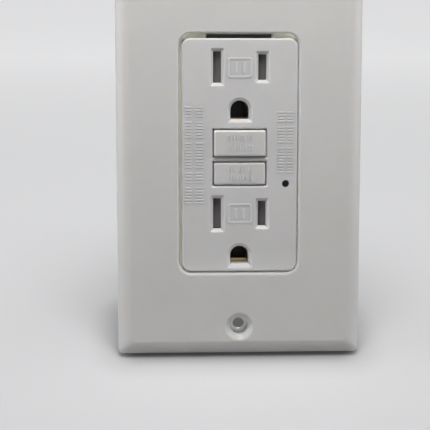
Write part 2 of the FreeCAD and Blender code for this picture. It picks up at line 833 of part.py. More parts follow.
def make_middle_separator():
    """Moulded carrier of the contacts, between the strap and the circuit board."""
    body = new_body("middle_separator")
    gap = "separator_gap"
    inner_width = "(body_width - 2 * body_wall - 2 * separator_side_gap)"
    inner_height = "(body_height - 2 * body_wall - 2 * separator_side_gap)"
    corner = "(%s - boss_radius - boss_clearance)" % BOSS_Z
    narrow = "(separator_width / 2)"
    outline = sketch(body, "XZ", "-" + gap)
    half = "(%s / 2)" % inner_width
    quarter = [(half, corner), (narrow, corner), (narrow, "%s / 2" % inner_height)]
    polygon(outline, quarter + [("-" + x, z) for x, z in reversed(quarter)]
            + [("-" + x, "-" + z) for x, z in quarter]
            + [(x, "-" + z) for x, z in reversed(quarter)])
    pad(body, outline, "separator_flange", backward=True)
    core = sketch(body, "XZ", "-" + gap)
    rectangle(core, centred("0", "separator_width"), centred("0", inner_height))
    pad(body, core, "separator_depth - separator_gap", backward=True)
    middle = sketch(body, "XZ", "-" + gap)
    rectangle(middle, centred("0", inner_width),
              ("window_bottom - separator_step", "window_top + separator_step"))
    pad(body, middle, "separator_depth - separator_gap", backward=True)

    shelf = sketch(body, "XZ", "-" + gap)
    for name, middle_z in RECEPTACLES:
        rectangle(shelf, centred("0", "strap_window - 2 * strap_gap"),
                  centred(middle_z, "shutter_height + window_play"))
    pad(body, shelf, "strap_thickness + separator_gap - shelf_gap")

    slots = sketch(body, "XZ")
    cavities = sketch(body, "XZ", "-separator_depth")
    grounds = sketch(body, "XZ", "-" + gap)
    for name, middle_z in RECEPTACLES:
        for side in (1, -1):
            rectangle(slots, flip(side, *centred("blade_spacing / 2", "slot_width + 2 * blade_play")),
                      centred(middle_z, "neutral_slot + 2 * blade_play"))
            rectangle(cavities, flip(side, "blade_spacing / 2 - cavity_reach", "link_x"),
                      centred(middle_z, "contact_length + 2 * contact_play"))
        rectangle(grounds, centred("0", "2 * (rivet_x + rivet_head + ground_margin)"),
                  centred("%s - ground_drop" % middle_z, "ground_base + ground_play"))
    pocket(body, slots, None, through=True, midplane=True)
    pocket(body, cavities, "separator_depth - contact_mouth + mouth_play")
    pocket(body, grounds, "jaw_depth + jaw_play", backward=True)

    links = sketch(body, "XZ", "-separator_depth")
    for side in (1, -1):
        rectangle(links, flip(side, "link_x - link_play", "link_x + link_wall + link_play"),
                  (LOWER_SLOTS + " - contact_length / 2 - rail_play",
                   UPPER_SLOTS + " + contact_length / 2 + rail_play"))
    pocket(body, links, "separator_depth - contact_pinch")
    tabs = sketch(body, "XZ", "-separator_depth")
    for side in (1, -1):
        rectangle(tabs, flip(side, "link_x", "separator_width / 2 + cut_margin"),
                  centred("terminal_z", "tab_width + 2 * tab_play"))
    pocket(body, tabs, "separator_depth - contact_back + link_wall + tab_gap")

    hollow = sketch(body, "XZ")
    rectangle(hollow, centred("0", "window_width + 2 * ear_reach + window_play"),
              ("window_bottom - hollow_low", "window_top + hollow_top"))
    pocket(body, hollow, "separator_depth - separator_floor", backward=True)
    pin_hole = sketch(body, "XZ")
    circle(pin_hole, "0", RESET_Z, "pin_radius + pin_clearance")
    circle(pin_hole, "light_x", "light_z", "light_hole / 2 + 2 * light_play")
    pocket(body, pin_hole, None, through=True, midplane=True)


# Rear housing

def make_rear_housing():
    """Moulded cup: terminal recesses at both sides, screw columns, wire holes, guide posts."""
    body = new_body("rear_housing")
    outline = sketch(body, "XZ")
    rectangle(outline, centred("0", "body_width"), centred("0", "body_height"))
    pad(body, outline, "body_depth", backward=True)
    dress(body, "Fillet", lambda edge: runs_along(edge, "y"), "body_corner")
    dress(body, "Fillet", lambda edge: at_depth(edge, VALUE["body_depth"]), "back_round")
    inside = sketch(body, "XZ")
    rectangle(inside, centred("0", "body_width - 2 * body_wall"),
              centred("0", "body_height - 2 * body_wall"))
    pocket(body, inside, INSIDE_BACK, backward=True)

    frames = sketch(body, "XZ", "-separator_flange - separator_gap - separator_side_gap")
    recess_inner = "terminal_x - plate_play"
    frame_inner = "(terminal_x - plate_play - terminal_frame)"
    lane_outer = "terminal_x + terminal_wall + terminal_gap"
    into_side = "body_width / 2 - wall_overlap"
    into_end = "body_height / 2 - wall_overlap"
    for side in (1, -1):
        for end in ("-", ""):
            rectangle(frames, flip(side, frame_inner, into_side),
                      centred(end + "terminal_z", "terminal_recess + 2 * terminal_frame"))
    pad(body, frames, INSIDE_BACK + " - separator_flange", backward=True)

    columns = sketch(body, "XZ", "-boss_end - separator_gap")
    column = " - boss_radius - column_wall"
    for across in (1, -1):
        for up in (1, -1):
            rectangle(columns, flip(across, BOSS_X + column, into_side),
                      flip(up, BOSS_Z + column, into_end))
    pad(body, columns, INSIDE_BACK + " - boss_end + 2 * separator_gap", backward=True)

    for side in (1, -1):
        recess = sketch(body, "XZ", "-terminal_y + terminal_recess / 2")
        for end in ("-", ""):
            rectangle(recess, flip(side, recess_inner, "body_width / 2 + cut_margin"),
                      centred(end + "terminal_z", "terminal_recess - recess_step"))
        pocket(body, recess, "terminal_recess", backward=True)

    wires = sketch(body, "XZ", "-body_depth - cut_margin")
    taps = sketch(body, "XZ", "-body_depth - cut_margin")
    heads = sketch(body, "XZ", "-body_depth - cut_margin")
    wire_x = "terminal_x + terminal_wall + terminal_travel / 2"
    for side in (1, -1):
        for end in ("-", ""):
            for step in ("-", "+"):
                circle(wires, flip(side, wire_x, wire_x)[0],
                       "%sterminal_z %s wire_pitch / 2" % (end, step), "wire_hole / 2")
            circle(taps, flip(side, BOSS_X, BOSS_X)[0], end + BOSS_Z, "screw_radius + screw_play")
            circle(heads, flip(side, BOSS_X, BOSS_X)[0], end + BOSS_Z, "screw_head / 2 + screw_play")
    pocket(body, wires, "body_depth + cut_margin - terminal_y - terminal_recess / 2 + wall_overlap")
    pocket(body, taps, "body_depth - boss_end + 2 * cut_margin")
    pocket(body, heads, "screw_head_depth + cut_margin")

    shafts = sketch(body, "YZ")
    lanes = sketch(body, "XZ", "-separator_flange")
    for end in ("-", ""):
        circle(shafts, "terminal_y", end + "terminal_z", "terminal_screw + shaft_play")
    pocket(body, shafts, "2 * terminal_x + cut_margin", midplane=True)
    for side in (1, -1):
        rectangle(lanes, flip(side, frame_inner + " - wall_overlap", lane_outer),
                  centred("terminal_z", "lane_width"))
    pocket(body, lanes, "contact_back - separator_flange + separator_side_gap", backward=True)
    cuts = sketch(body, "XZ", "-" + INSIDE_BACK)
    for side in (1, -1):
        rectangle(cuts, flip(side, frame_inner + " - wall_overlap", lane_outer),
                  centred("-terminal_z", "lane_width"))
    pocket(body, cuts, "lead_slot")

    posts = sketch(body, "XZ", "-" + INSIDE_BACK)
    stops = sketch(body, "XZ", "-" + INSIDE_BACK)
    for across in ("-guide_x", "guide_x"):
        circle(posts, across, RESET_Z, "guide_radius")
        circle(stops, across, RESET_Z, "guide_radius + stop_wall")
    pad(body, stops, "%s - %s - carrier_depth" % (INSIDE_BACK, CARRIER_FRONT))
    pad(body, posts, INSIDE_BACK + " - %s - post_gap" % BOARD_BACK)


def make_assembly_screws():
    """Four long screws from the back into the cover's bosses."""
    screws = []
    for across in ("-" + BOSS_X, BOSS_X):
        for up in ("-" + BOSS_Z, BOSS_Z):
            seat = "body_depth - screw_head_depth"
            shaft = rod("y", (across, up), ("screw_tip", seat), "screw_radius")
            head = rod("y", (across, up), (seat, "body_depth - head_recess"), "screw_head / 2")
            socket = rod("y", (across, up), ("body_depth - socket_depth", "body_depth"),
                         "screw_head / 4")
            screws.append(cut(fuse(shaft, head), socket))
    node(group(*screws), "assembly_screws")


# Buttons

def button_body(name, low, high, proud):
    """A cap with rounded front edges, and side ears that hold it behind the cover."""
    body = new_body(name)
    cap = sketch(body, "XZ", "button_back")
    rectangle(cap, centred("0", "button_width"), (low, high))
    pad(body, cap, "%s + %s - button_back" % (FACE_FRONT, proud))
    depth = -(VALUE["plate_front"] - VALUE["face_inset"] + VALUE[proud])
    dress(body, "Fillet", lambda edge: at_depth(edge, depth), "button_round")
    ears = sketch(body, "XZ", "button_back")
    rectangle(ears, centred("0", "window_width + 2 * (ear_reach - ear_side_gap)"),
              (low + " + ear_inset", high + " - ear_inset"))
    pad(body, ears, "ear_thickness")
    return body


def make_reset_button():
    button_body("reset_button", RESET_BOTTOM, RESET_TOP, "reset_proud")
    neck_end = "(%s - reset_stroke + pin_neck / 2)" % LATCH_Y
    pin = rod("y", ("0", RESET_Z), ("-button_back", neck_end + " + pin_tip"), "pin_radius")
    neck = ring("y", ("0", RESET_Z), (neck_end + " - pin_neck", neck_end),
                "pin_radius + cut_margin", "pin_radius - neck_depth")
    node(cut(pin, neck), "reset_pin")
    spring_sleeve("reset_spring", "y", ("0", RESET_Z), ("-button_back", "separator_depth - separator_floor"))


def make_test_button():
    body = button_body("test_button", TEST_BOTTOM, TEST_TOP, "test_proud")
    stem = sketch(body, "XZ", "button_back")
    circle(stem, "0", TEST_Z, "stem_radius")
    pad(body, stem, "button_back + stem_length", backward=True)
    leaf_y = "(stem_length + leaf_gap)"
    left = "(-window_width / 2 - ear_reach - leaf_root)"
    floor = "separator_depth - separator_floor"
    rest = box((left, "leaf_end"), (leaf_y, leaf_y + " + leaf_thickness"),
               centred(TEST_Z, "leaf_width"))
    foot = box((left, left + " + foot_width"), (leaf_y, floor), centred(TEST_Z, "leaf_width"))
    node(fuse(rest, foot), "test_leaf")
    touch = "stem_length + test_stroke + leaf_thickness"
    node(rod("y", ("post_x", TEST_Z), (touch, floor), "post_radius"), "test_post")


def spring_sleeve(name, axis, across, span):
    """A coil spring's envelope: the thin sleeve that its turns fill."""
    inner = "spring_radius - spring_wire / 2"
    outer = "spring_radius + spring_wire / 2"
    return node(ring(axis, across, span, outer, inner), name)


# Shutters

def make_shutter(name, middle):
    """A slider that hides both slots, with a ramp under each and an opening beside one."""
    front = "(%s - shutter_play)" % FACE_BACK
    back = "(%s - shutter_thickness)" % front
    left = "(-blade_spacing / 2 - slot_width / 2 - shutter_left)"
    right = "(blade_spacing / 2 + slot_width / 2 + shutter_right)"
    height = centred(middle, "shutter_height")
    body = new_body("shutter_" + name)
    plan = sketch(body, "XY", height[0])
    ramp = "shutter_ramp"
    hot_left = "(blade_spacing / 2 - slot_width / 2 - shutter_step)"
    polygon(plan, [
        (left, "-(%s - %s)" % (front, ramp)),
        ("%s + slot_width + ramp_run" % left, "-" + front),
        (hot_left, "-" + front),
        (hot_left, "-(%s - %s)" % (front, ramp)),
        (right, "-" + front),
        (right, "-" + back),
        (left, "-" + back)])
    pad(body, plan, "shutter_height")
    opening = sketch(body, "XZ", "-cut_margin")
    rectangle(opening, ("blade_spacing / 2 - slot_width / 2 - shutter_travel - shutter_step",
                        "blade_spacing / 2 + slot_width / 2 - shutter_travel + shutter_edge"),
              centred(middle, "neutral_slot + blade_play"))
    pocket(body, opening, None, through=True, midplane=True)
    y = "-(%s + %s) / 2" % (front, back)
    piece = ring("x", (y, middle), (right, "shutter_pocket"), "shutter_coil", "shutter_bore")
    node(piece, "shutter_spring_" + name)


# Contacts

def contact_profile(side):
    """Plan of one blade contact: two leaves that pinch the blade, flared at the mouth."""
    floor = "contact_back - contact_wall"
    leaf = [("mouth_half", "contact_mouth"), ("pinch_half", "contact_pinch"), ("root_half", floor)]
    outside = [("pinch_half + contact_wall", "contact_pinch"),
               ("mouth_half + contact_wall", "contact_mouth")]
    joined = "link_x - blade_spacing / 2 + link_overlap"
    corners = [("-mouth_half", "contact_back"), ("-mouth_half", floor)]
    corners += [("-(%s)" % x, y) for x, y in outside]
    corners += [("-(%s)" % x, y) for x, y in leaf]
    corners += list(reversed(leaf))
    corners += list(reversed(outside))
    corners += [("mouth_half", floor), (joined, floor), (joined, "contact_back")]
    sign = "" if side > 0 else "-"
    return [("%s(blade_spacing / 2 + (%s))" % (sign, x), y) for x, y in corners]


def terminal_holes(side, end, extra):
    return rod("x", ("terminal_y", end + "terminal_z"), flip(side, "link_x", "body_width"), extra)


def terminal_plate(side, end):
    across = flip(side, "terminal_x", "terminal_x + terminal_wall")
    return box(across, ("terminal_y - terminal_low", "terminal_y + terminal_high"),
               centred(end + "terminal_z", "terminal_size"))


def make_contact_strip(name, side):
    """Brass strip with a contact for each receptacle, a fixed contact tail and a load terminal."""
    body = doc.addObject("PartDesign::Body", "Leaves")
    for part_name, middle in RECEPTACLES:
        plan = sketch(body, "XY", "%s - contact_length / 2" % middle)
        polygon(plan, contact_profile(side))
        pad(body, plan, "contact_length")
    link = flip(side, "link_x", "link_x + link_wall")
    rail_z = (LOWER_SLOTS + " - contact_length / 2", UPPER_SLOTS + " + contact_length / 2")
    rail = sketch(body, "YZ", link[0])
    rectangle(rail, ("contact_pinch + rail_step", "contact_back"), rail_z)
    pad(body, rail, "link_wall")
    tail = box(link, ("contact_pinch + rail_step", "arm_front - tip_height * 2 - contact_gap"),
               centred("tip_z", "tail_width"))
    across = flip(side, "link_x", "terminal_x + terminal_wall")
    tab = box(across, ("contact_back - link_wall", "contact_back"),
              centred("terminal_z", "tab_width"))
    strip = fuse(body, tail, tab, terminal_plate(side, ""))
    node(cut(strip, terminal_holes(side, "", "terminal_screw + terminal_fit")),
         name + "_contact_strip")


def make_line_terminal(name, side):
    """Copper lead from the line screw, through both sensing cores, to the root of its arm."""
    z = centred("core_z", "2 * lead_half")
    rear_z = ("core_z - lead_low", "core_z + lead_half")
    rear_end = INSIDE_BACK + " - lead_gap"
    front = (BOARD_BACK + " + board_gap", BOARD_BACK + " + board_gap + lead_front")
    outer = "terminal_x + terminal_wall"
    arm_side = flip(side, *centred("arm_x", "lead_width"))
    back_run = box(flip(side, "lead_near", outer), (rear_end + " - lead_wall", rear_end), rear_z)
    rise = box(flip(side, "terminal_x", outer), ("terminal_y", rear_end), rear_z)
    through = box(flip(side, "lead_near", "lead_half"), (front[0], rear_end), z)
    front_run = box(flip(side, "lead_near", "arm_x + lead_width / 2"), front, z)
    climb = box(arm_side, front, ("core_z", "arm_root + root_height"))
    post = box(arm_side, (front[0], "arm_front - arm_gap"), centred("arm_root", "2 * root_height"))
    lead = fuse(terminal_plate(side, "-"), rise, back_run, through, front_run, climb, post)
    node(cut(lead, terminal_holes(side, "-", "terminal_screw + terminal_fit")),
         "line_%s_terminal" % name)


def make_ground_contact(name, middle):
    """Bronze jaws that grip the ground pin, riveted to the back of the strap."""
    up = "(%s - ground_drop)" % middle
    body = doc.addObject("PartDesign::Body", "Jaws")
    grip = "jaw_depth - jaw_lip"
    corners = [("rivet_x + rivet_head", "0"), ("rivet_x + rivet_head", "ground_wall"),
               ("jaw_root + jaw_wall", "ground_wall"), ("jaw_grip + jaw_wall", grip),
               ("jaw_mouth + jaw_wall", "jaw_depth"), ("jaw_mouth", "jaw_depth"),
               ("jaw_grip", grip), ("jaw_root", "ground_wall"), ("jaw_root", "0")]
    for sign in ("", "-"):
        plan = sketch(body, "XY", up + " - jaw_width / 2")
        polygon(plan, [("%s(%s)" % (sign, x), y) for x, y in corners])
        pad(body, plan, "jaw_width")
    base = box(centred("0", "2 * (rivet_x + rivet_head)"), ("0", "ground_wall"),
               centred(up, "ground_base"))
    deep = ("-cut_margin", "ground_wall + cut_margin")
    bore = box(centred("0", "bore_width"), ("-cut_margin", "cut_margin"), centred(up, "bore_height"))
    holes = [rod("y", (side, up), deep, "rivet_radius") for side in ("-rivet_x", "rivet_x")]
    node(cut(fuse(body, base), bore, *holes), "ground_contact_" + name)


def make_ground_rivets():
    rivets = []
    for name, middle in RECEPTACLES:
        for side in ("-rivet_x", "rivet_x"):
            place = (side, "%s - ground_drop" % middle)
            shank = rod("y", place, ("-strap_thickness", "ground_wall"), "rivet_radius")
            head = cone("y", place, ("ground_wall", "2 * ground_wall"), "rivet_head", "rivet_top")
            rivets.append(fuse(shank, head))
    node(group(*rivets), "ground_rivets")


# Terminal screws

def make_terminal(name, side, end):
    """A slotted binding screw along X and the square clamp plate under its head."""
    plate = "(terminal_x + terminal_wall + terminal_gap)"
    seat = "(%s + clamp_thickness)" % plate
    place = ("terminal_y", end + "terminal_z")
    clamp = box(flip(side, plate, seat), centred("terminal_y", "terminal_size"),
                centred(end + "terminal_z", "terminal_size"))
    hole = rod("x", place, flip(side, "link_x", "body_width"), "terminal_screw")
    node(cut(clamp, hole), name + "_clamp")
    shaft = rod("x", place, flip(side, "%s - terminal_reach" % seat, seat), "terminal_screw")
    head_end = "(%s + terminal_head_height)" % seat
    head = rod("x", place, flip(side, seat, head_end), "terminal_head")
    slot = box(flip(side, head_end + " - driver_depth", head_end + " + cut_margin"),
               centred("terminal_y", "2 * terminal_head + cut_margin"),
               centred(end + "terminal_z", "driver_slot"))
    node(cut(fuse(shaft, head), slot), name + "_screw")


def make_ground_screw():
    """Hexagon washer-head screw on the strap's bent tab."""
    place = ("tab_screw_y", TAB_Z)
    seat = "(-strap_ear / 2 - head_gap)"
    top = "(-strap_ear / 2 - head_gap - washer_wall - terminal_head_height)"
    shaft = rod("x", place, (seat, "strap_thickness - strap_ear / 2 + thread_end"), "terminal_screw")
    washer = rod("x", place, (seat + " - washer_wall", seat), "terminal_head")
    head = doc.addObject("Part::Prism", "Hexagon")
    head.Polygon = 6
    bind(head, "Circumradius", "hexagon_radius")
    bind(head, "Height", "terminal_head_height")
    set_on(head, "x", place, top)
    slot = box((top + " - cut_margin", top + " + driver_depth"),
               centred("tab_screw_y", "2 * terminal_head + cut_margin"), centred(TAB_Z, "driver_slot"))
    node(cut(fuse(shaft, washer, head), slot), "ground_screw")


# Circuit board and what it carries

def make_circuit_board():
    board = box(centred("0", "board_width"), ("board_front", BOARD_BACK),
                (BOARD_BOTTOM, BOARD_TOP))
    pin_hole = rod("y", ("0", RESET_Z), ("board_front - cut_margin", BOARD_BACK + " + cut_margin"),
                   "spring_radius + spring_wire / 2 + spring_play")
    notches = []
    for side in (1, -1):
        notches.append(box(flip(side, "link_x - link_overlap", "body_width"), ("0", "body_depth"),
                           centred("tip_z", "tail_width + 2 * tail_play")))
    light = "(board_front - lamp_height)"
    node(cut(board, pin_hole, *notches), "circuit_board")
    pipe = rod("y", ("light_x", "light_z"),
               ("-%s + light_recess" % FACE_FRONT, light + " - lamp_gap"), "light_hole / 2")
    node(pipe, "light_pipe")
    lamp = fuse(rod("y", ("light_x", "light_z"), (light, "board_front"), "light_hole / 2"),
                rod("y", ("light_x", "light_z"), ("board_front - lamp_flange", "board_front"),
                    "light_hole / 2 + light_play"))
    node(lamp, "indicator_lamp")


def make_cores():
    """Two ring cores, one behind the other, in a moulded boat; the line leads pass through."""
    start = "(%s + core_start)" % BOARD_BACK
    names = ("sensing_core", "neutral_core")
    for index, name in enumerate(names):
        low = "%s + %d * (core_height + core_gap)" % (start, index)
        node(ring("y", ("0", "core_z"), (low, low + " + core_height"), "core_radius",
                  "core_bore + boat_wall"), name)
    depth = (start, start + " + 2 * core_height + core_gap")
    outer = ring("y", ("0", "core_z"), depth, "core_radius + boat_wall", "core_radius")
    inner = ring("y", ("0", "core_z"), depth, "core_bore + boat_wall", "core_bore")
    web = ring("y", ("0", "core_z"), (start + " + core_height",
                                      start + " + core_height + core_gap"),
               "core_radius + boat_wall", "core_bore")
    node(fuse(outer, inner, web), "core_holder")


def make_solenoid():
    """Trip solenoid: bobbin, coil, steel yoke, and a plunger held up by its spring."""
    axis = ("0", "coil_y")
    low = "coil_bottom"
    high = "(body_height / 2 - body_wall - coil_headroom)"
    bore = "plunger_radius + plunger_fit"
    tube = "(%s + bobbin_wall)" % bore
    ends = [rod("z", axis, span, "coil_radius + bobbin_lip") for span in
            ((low, low + " + flange_wall"), (high + " - flange_wall", high))]
    core = rod("z", axis, (low, high), tube)
    through = (low + " - 3 * cut_margin", high + " + 3 * cut_margin")
    node(cut(fuse(core, *ends), rod("z", axis, through, bore)), "solenoid_bobbin")
    node(ring("z", axis, (low + " + flange_wall", high + " - flange_wall"), "coil_radius", tube),
         "solenoid_coil")
    wide = centred("0", "2 * coil_radius")
    depth = ("coil_y - coil_radius", INSIDE_BACK)
    lower = box(wide, depth, (low + " - yoke_wall", low))
    upper = box(wide, depth, (high, high + " + yoke_wall"))
    back = box(wide, ("coil_y + coil_radius + bobbin_lip", INSIDE_BACK),
               (low + " - yoke_wall", high + " + yoke_wall"))
    hole = rod("z", axis, through, bore)
    node(cut(fuse(lower, upper, back), hole), "solenoid_yoke")
    top = "(%s + yoke_wall)" % high
    lower_end = RESET_Z + " + carrier_height / 2 + latch_travel + plunger_gap"
    spring_top = top + " + plunger_reach"
    plunger = rod("z", axis, (lower_end, spring_top + " + plunger_cap / 2"), "plunger_radius")
    cap = rod("z", axis, (spring_top, spring_top + " + plunger_cap"), "plunger_radius + cap_lip")
    node(fuse(plunger, cap), "plunger")
    node(ring("z", axis, (top, spring_top), "plunger_radius + plunger_coil",
              "plunger_radius + plunger_bore"), "plunger_spring")


def make_carrier():
    """Latch block that lifts both contact arms, with its sliding latch plate and break spring."""
    front = CARRIER_FRONT
    back = "(%s + carrier_depth)" % front
    low, high = centred(RESET_Z, "carrier_height")
    block = box(centred("0", "carrier_width"), (front, back), (low, high))
    wings = box(centred("0", "2 * arm_x + arm_width"),
                (ARM_BACK + " + carrier_gap", back), ("tip_z - wing_drop", high))
    clear = []
    through = (front + " - cut_margin", back + " + cut_margin")
    for across in ("-guide_x", "guide_x"):
        clear.append(rod("y", (across, RESET_Z), through, "guide_radius + guide_fit"))
    pin = rod("y", ("0", RESET_Z), through, "pin_radius + pin_clearance")
    slide = box(centred("0", "latch_width + 2 * latch_play"),
                centred(LATCH_Y, "latch_wall + 2 * latch_play"),
                (low + " - cut_margin", high + " + cut_margin"))
    node(cut(fuse(block, wings), pin, slide, *clear), "latch_block")
    plate_y = centred(LATCH_Y, "latch_wall")
    lip_low = high + " + latch_travel + latch_play"
    lip_top = lip_low + " + lip_height"
    plate = box(centred("0", "latch_width"), plate_y, (low + " + latch_play", lip_top))
    lip = box(centred("0", "lip_width"), (plate_y[0], plate_y[0] + " + lip_reach"),
              (lip_low, lip_top))
    eye = rod("y", ("0", RESET_Z), (front, back), "pin_radius + latch_play")
    slot = box(centred("0", "2 * (pin_radius + latch_play)"), (front, back),
               (RESET_Z, RESET_Z + " + latch_travel + pin_radius + latch_play"))
    node(cut(fuse(plate, lip), eye, slot), "latch_plate")
    spring_sleeve("break_spring", "y", ("0", RESET_Z), ("separator_depth + spring_gap", front))


def make_contact_arm(name, side):
    """Spring-copper arm that turns at its root, with a silver tip facing a fixed one."""
    across = flip(side, "arm_x - arm_width / 2", "arm_x + arm_width / 2")
    arm = box(across, ("arm_front", ARM_BACK), ("arm_root - root_height", "arm_tip"))
    node(arm, name + "_contact_arm")
    place = (flip(side, "arm_x", "arm_x")[0], "tip_z")
    node(rod("y", place, ("arm_front - tip_height", "arm_front"), "tip_radius"),
         name + "_arm_tip")
    start = "arm_front - 2 * tip_height - contact_gap"
    fixed = rod("y", place, (start, start + " + tip_height"), "tip_radius")
    node(fixed, name + "_fixed_tip")


def on_board(depth):
    """A span along Y from the back of the circuit board."""
    return BOARD_BACK, BOARD_BACK + " + " + depth


def make_components():
    """Varistor, capacitor, controller chip, thyristor and two resistors on the board's back."""
    disc_z = "(%s - varistor_drop)" % BOARD_TOP
    disc = rod("y", ("-varistor_x", disc_z), (BOARD_BACK + " + varistor_gap",
                                              BOARD_BACK + " + varistor_gap + varistor_depth"),
               "varistor_radius")
    leads = box(centred("-varistor_x", "varistor_foot"), on_board("foot_height"),
                centred(disc_z, "varistor_radius"))
    node(fuse(disc, leads), "varistor")
    top = BOARD_TOP + " - capacitor_drop"
    node(box(centred("capacitor_x", "capacitor_width"), on_board("capacitor_depth"),
             (top + " - capacitor_length", top)), "capacitor")
    node(box(centred("-chip_x", "chip_width"), on_board("chip_depth"),
             centred("-chip_z", "chip_length")), "controller_chip")
    flat_top = "(-thyristor_z - thyristor_flat)"
    round_body = rod("y", ("thyristor_x", "-thyristor_z"), on_board("thyristor_depth"),
                     "thyristor_radius")
    beside = box(centred("thyristor_x", "4 * thyristor_radius"), ("0", "body_depth"),
                 (flat_top + " - thyristor_flat", flat_top))
    node(cut(round_body, beside), "thyristor")
    place_z = "(%s + resistor_lift)" % BOARD_BOTTOM
    resistors = []
    for middle in ("-resistor_x", "resistor_x"):
        barrel = rod("x", (BOARD_BACK + " + resistor_depth", place_z),
                     centred(middle, "resistor_length"), "resistor_radius")
        feet = [box(centred("%s %s foot_spread" % (middle, sign), "resistor_foot"),
                    on_board("resistor_depth"), centred(place_z, "resistor_foot"))
                for sign in ("+", "-")]
        resistors.append(fuse(barrel, *feet))
    node(group(*resistors), "resistors")


make_wall_plate()
make_front_cover()
make_mounting_strap()
make_middle_separator()
make_rear_housing()
make_assembly_screws()
make_reset_button()
make_test_button()
for half, middle_z in RECEPTACLES:
    make_shutter(half, middle_z)
    make_ground_contact(half, middle_z)
make_ground_rivets()
for pole, direction in SIDES:
    make_contact_strip(pole, direction)
    make_line_terminal(pole, direction)
    make_terminal("load_" + pole, direction, "")
    make_terminal("line_" + pole, direction, "-")
    make_contact_arm(pole, direction)
make_ground_screw()
make_circuit_board()
make_cores()
make_solenoid()
make_carrier()
make_components()
doc.recompute()

problems = []
for item in doc.Objects:
    if "Invalid" in item.State or "Error" in item.State:
        problems.append("%s (%s): %s" % (item.Name, item.Label, item.State))
for piece in nodes:
    steps = getattr(piece, "Group", []) + [piece]
    for step in steps:
        if hasattr(step, "Shape") and (step.Shape.isNull() or not step.Shape.isValid()):
            problems.append("%s of %s has no valid shape" % (step.Label, piece.Label))
if problems:
    raise RuntimeError("\n".join(problems))

os.makedirs("parts", exist_ok=True)
for piece in nodes:
    piece.Shape.exportStep("parts/%s.step" % piece.Label)
    size = piece.Shape.BoundBox
    print("%-22s %2d solid(s) %9.1f mm3  x %.1f..%.1f  y %.1f..%.1f  z %.1f..%.1f" % (
        piece.Label, len(piece.Shape.Solids), piece.Shape.Volume, size.XMin, size.XMax,
        size.YMin, size.YMax, size.ZMin, size.ZMax))
print(len(nodes), "nodes")
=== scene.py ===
import json

import bmesh
import bpy
import numpy as np
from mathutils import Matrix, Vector
from mathutils.geometry import delaunay_2d_cdt

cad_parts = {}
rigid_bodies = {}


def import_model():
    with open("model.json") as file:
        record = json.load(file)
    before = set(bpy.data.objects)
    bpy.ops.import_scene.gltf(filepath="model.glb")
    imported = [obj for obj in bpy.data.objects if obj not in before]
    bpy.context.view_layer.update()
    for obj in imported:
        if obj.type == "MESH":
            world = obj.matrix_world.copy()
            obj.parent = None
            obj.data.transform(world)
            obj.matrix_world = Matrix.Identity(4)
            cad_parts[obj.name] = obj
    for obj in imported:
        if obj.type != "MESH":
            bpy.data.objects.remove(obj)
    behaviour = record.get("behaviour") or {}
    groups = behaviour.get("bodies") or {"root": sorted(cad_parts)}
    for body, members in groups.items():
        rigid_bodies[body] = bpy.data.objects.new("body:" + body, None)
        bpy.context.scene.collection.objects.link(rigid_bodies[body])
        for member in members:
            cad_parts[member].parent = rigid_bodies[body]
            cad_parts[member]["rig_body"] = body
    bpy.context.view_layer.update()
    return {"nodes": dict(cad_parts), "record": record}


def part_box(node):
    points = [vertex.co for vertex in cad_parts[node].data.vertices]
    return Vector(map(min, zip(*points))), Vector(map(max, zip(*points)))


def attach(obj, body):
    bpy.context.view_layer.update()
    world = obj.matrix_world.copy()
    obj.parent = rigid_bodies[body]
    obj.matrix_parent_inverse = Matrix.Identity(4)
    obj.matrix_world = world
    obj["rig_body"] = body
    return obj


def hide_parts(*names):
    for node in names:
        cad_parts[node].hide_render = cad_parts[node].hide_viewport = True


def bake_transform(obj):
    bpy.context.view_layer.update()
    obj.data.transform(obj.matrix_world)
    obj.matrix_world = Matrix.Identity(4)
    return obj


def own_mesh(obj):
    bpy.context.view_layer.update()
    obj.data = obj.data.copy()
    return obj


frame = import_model()

# Wall plate. One moulding of white plastic with a drafted rim, a broad bevel all round and a
# rounded opening for the device. Two countersunk holes take its screws, and behind each stands
# a boss that meets the mounting strap.

MM = 0.001
BODIES = {name: body for body, names in frame["record"]["behaviour"]["bodies"].items() for name in names}


def node_box(name):
    """Lowest and highest corner of a CAD node, in millimetres."""
    low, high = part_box(name)
    return np.array(low) / MM, np.array(high) / MM


def rounded_path(corners, radii, steps=6, closed=False):
    """Points of a path whose corners are circle arcs, as an array.

    An arc starts and ends radius * tan(turn / 2) before and after its corner. Its centre lies
    radius / cos(turn / 2) from the corner on the bisector, and each of its points is the centre
    plus the radius, turned evenly from one leg's normal to the other's. An open path keeps its ends."""
    corners = np.array(corners, float)
    ahead = np.roll(corners, -1, axis=0) - corners
    behind = np.roll(corners, 1, axis=0) - corners
    inner = slice(None) if closed else slice(1, -1)
    ahead = ahead[inner] / np.linalg.norm(ahead[inner], axis=1, keepdims=True)
    behind = behind[inner] / np.linalg.norm(behind[inner], axis=1, keepdims=True)
    radius = np.broadcast_to(np.array(radii, float), len(ahead))[:, None]
    half_turn = (np.pi - np.arccos(np.clip((ahead * behind).sum(1), -1, 1)))[:, None] / 2
    middle = ahead + behind
    bisector = middle / np.maximum(np.linalg.norm(middle, axis=1, keepdims=True), 1e-9)
    tangent = (ahead - behind) / np.linalg.norm(ahead - behind, axis=1, keepdims=True)
    centre = corners[inner] + bisector * radius / np.maximum(np.cos(half_turn), 1e-9)
    turn = np.linspace(-1, 1, steps + 1)[None, :, None] * half_turn[:, :, None]
    arcs = np.sin(turn) * tangent[:, None] - np.cos(turn) * bisector[:, None]
    points = (centre[:, None] + radius[:, :, None] * arcs).reshape(-1, corners.shape[1])
    return points if closed else np.concatenate([corners[:1], points, corners[-1:]])


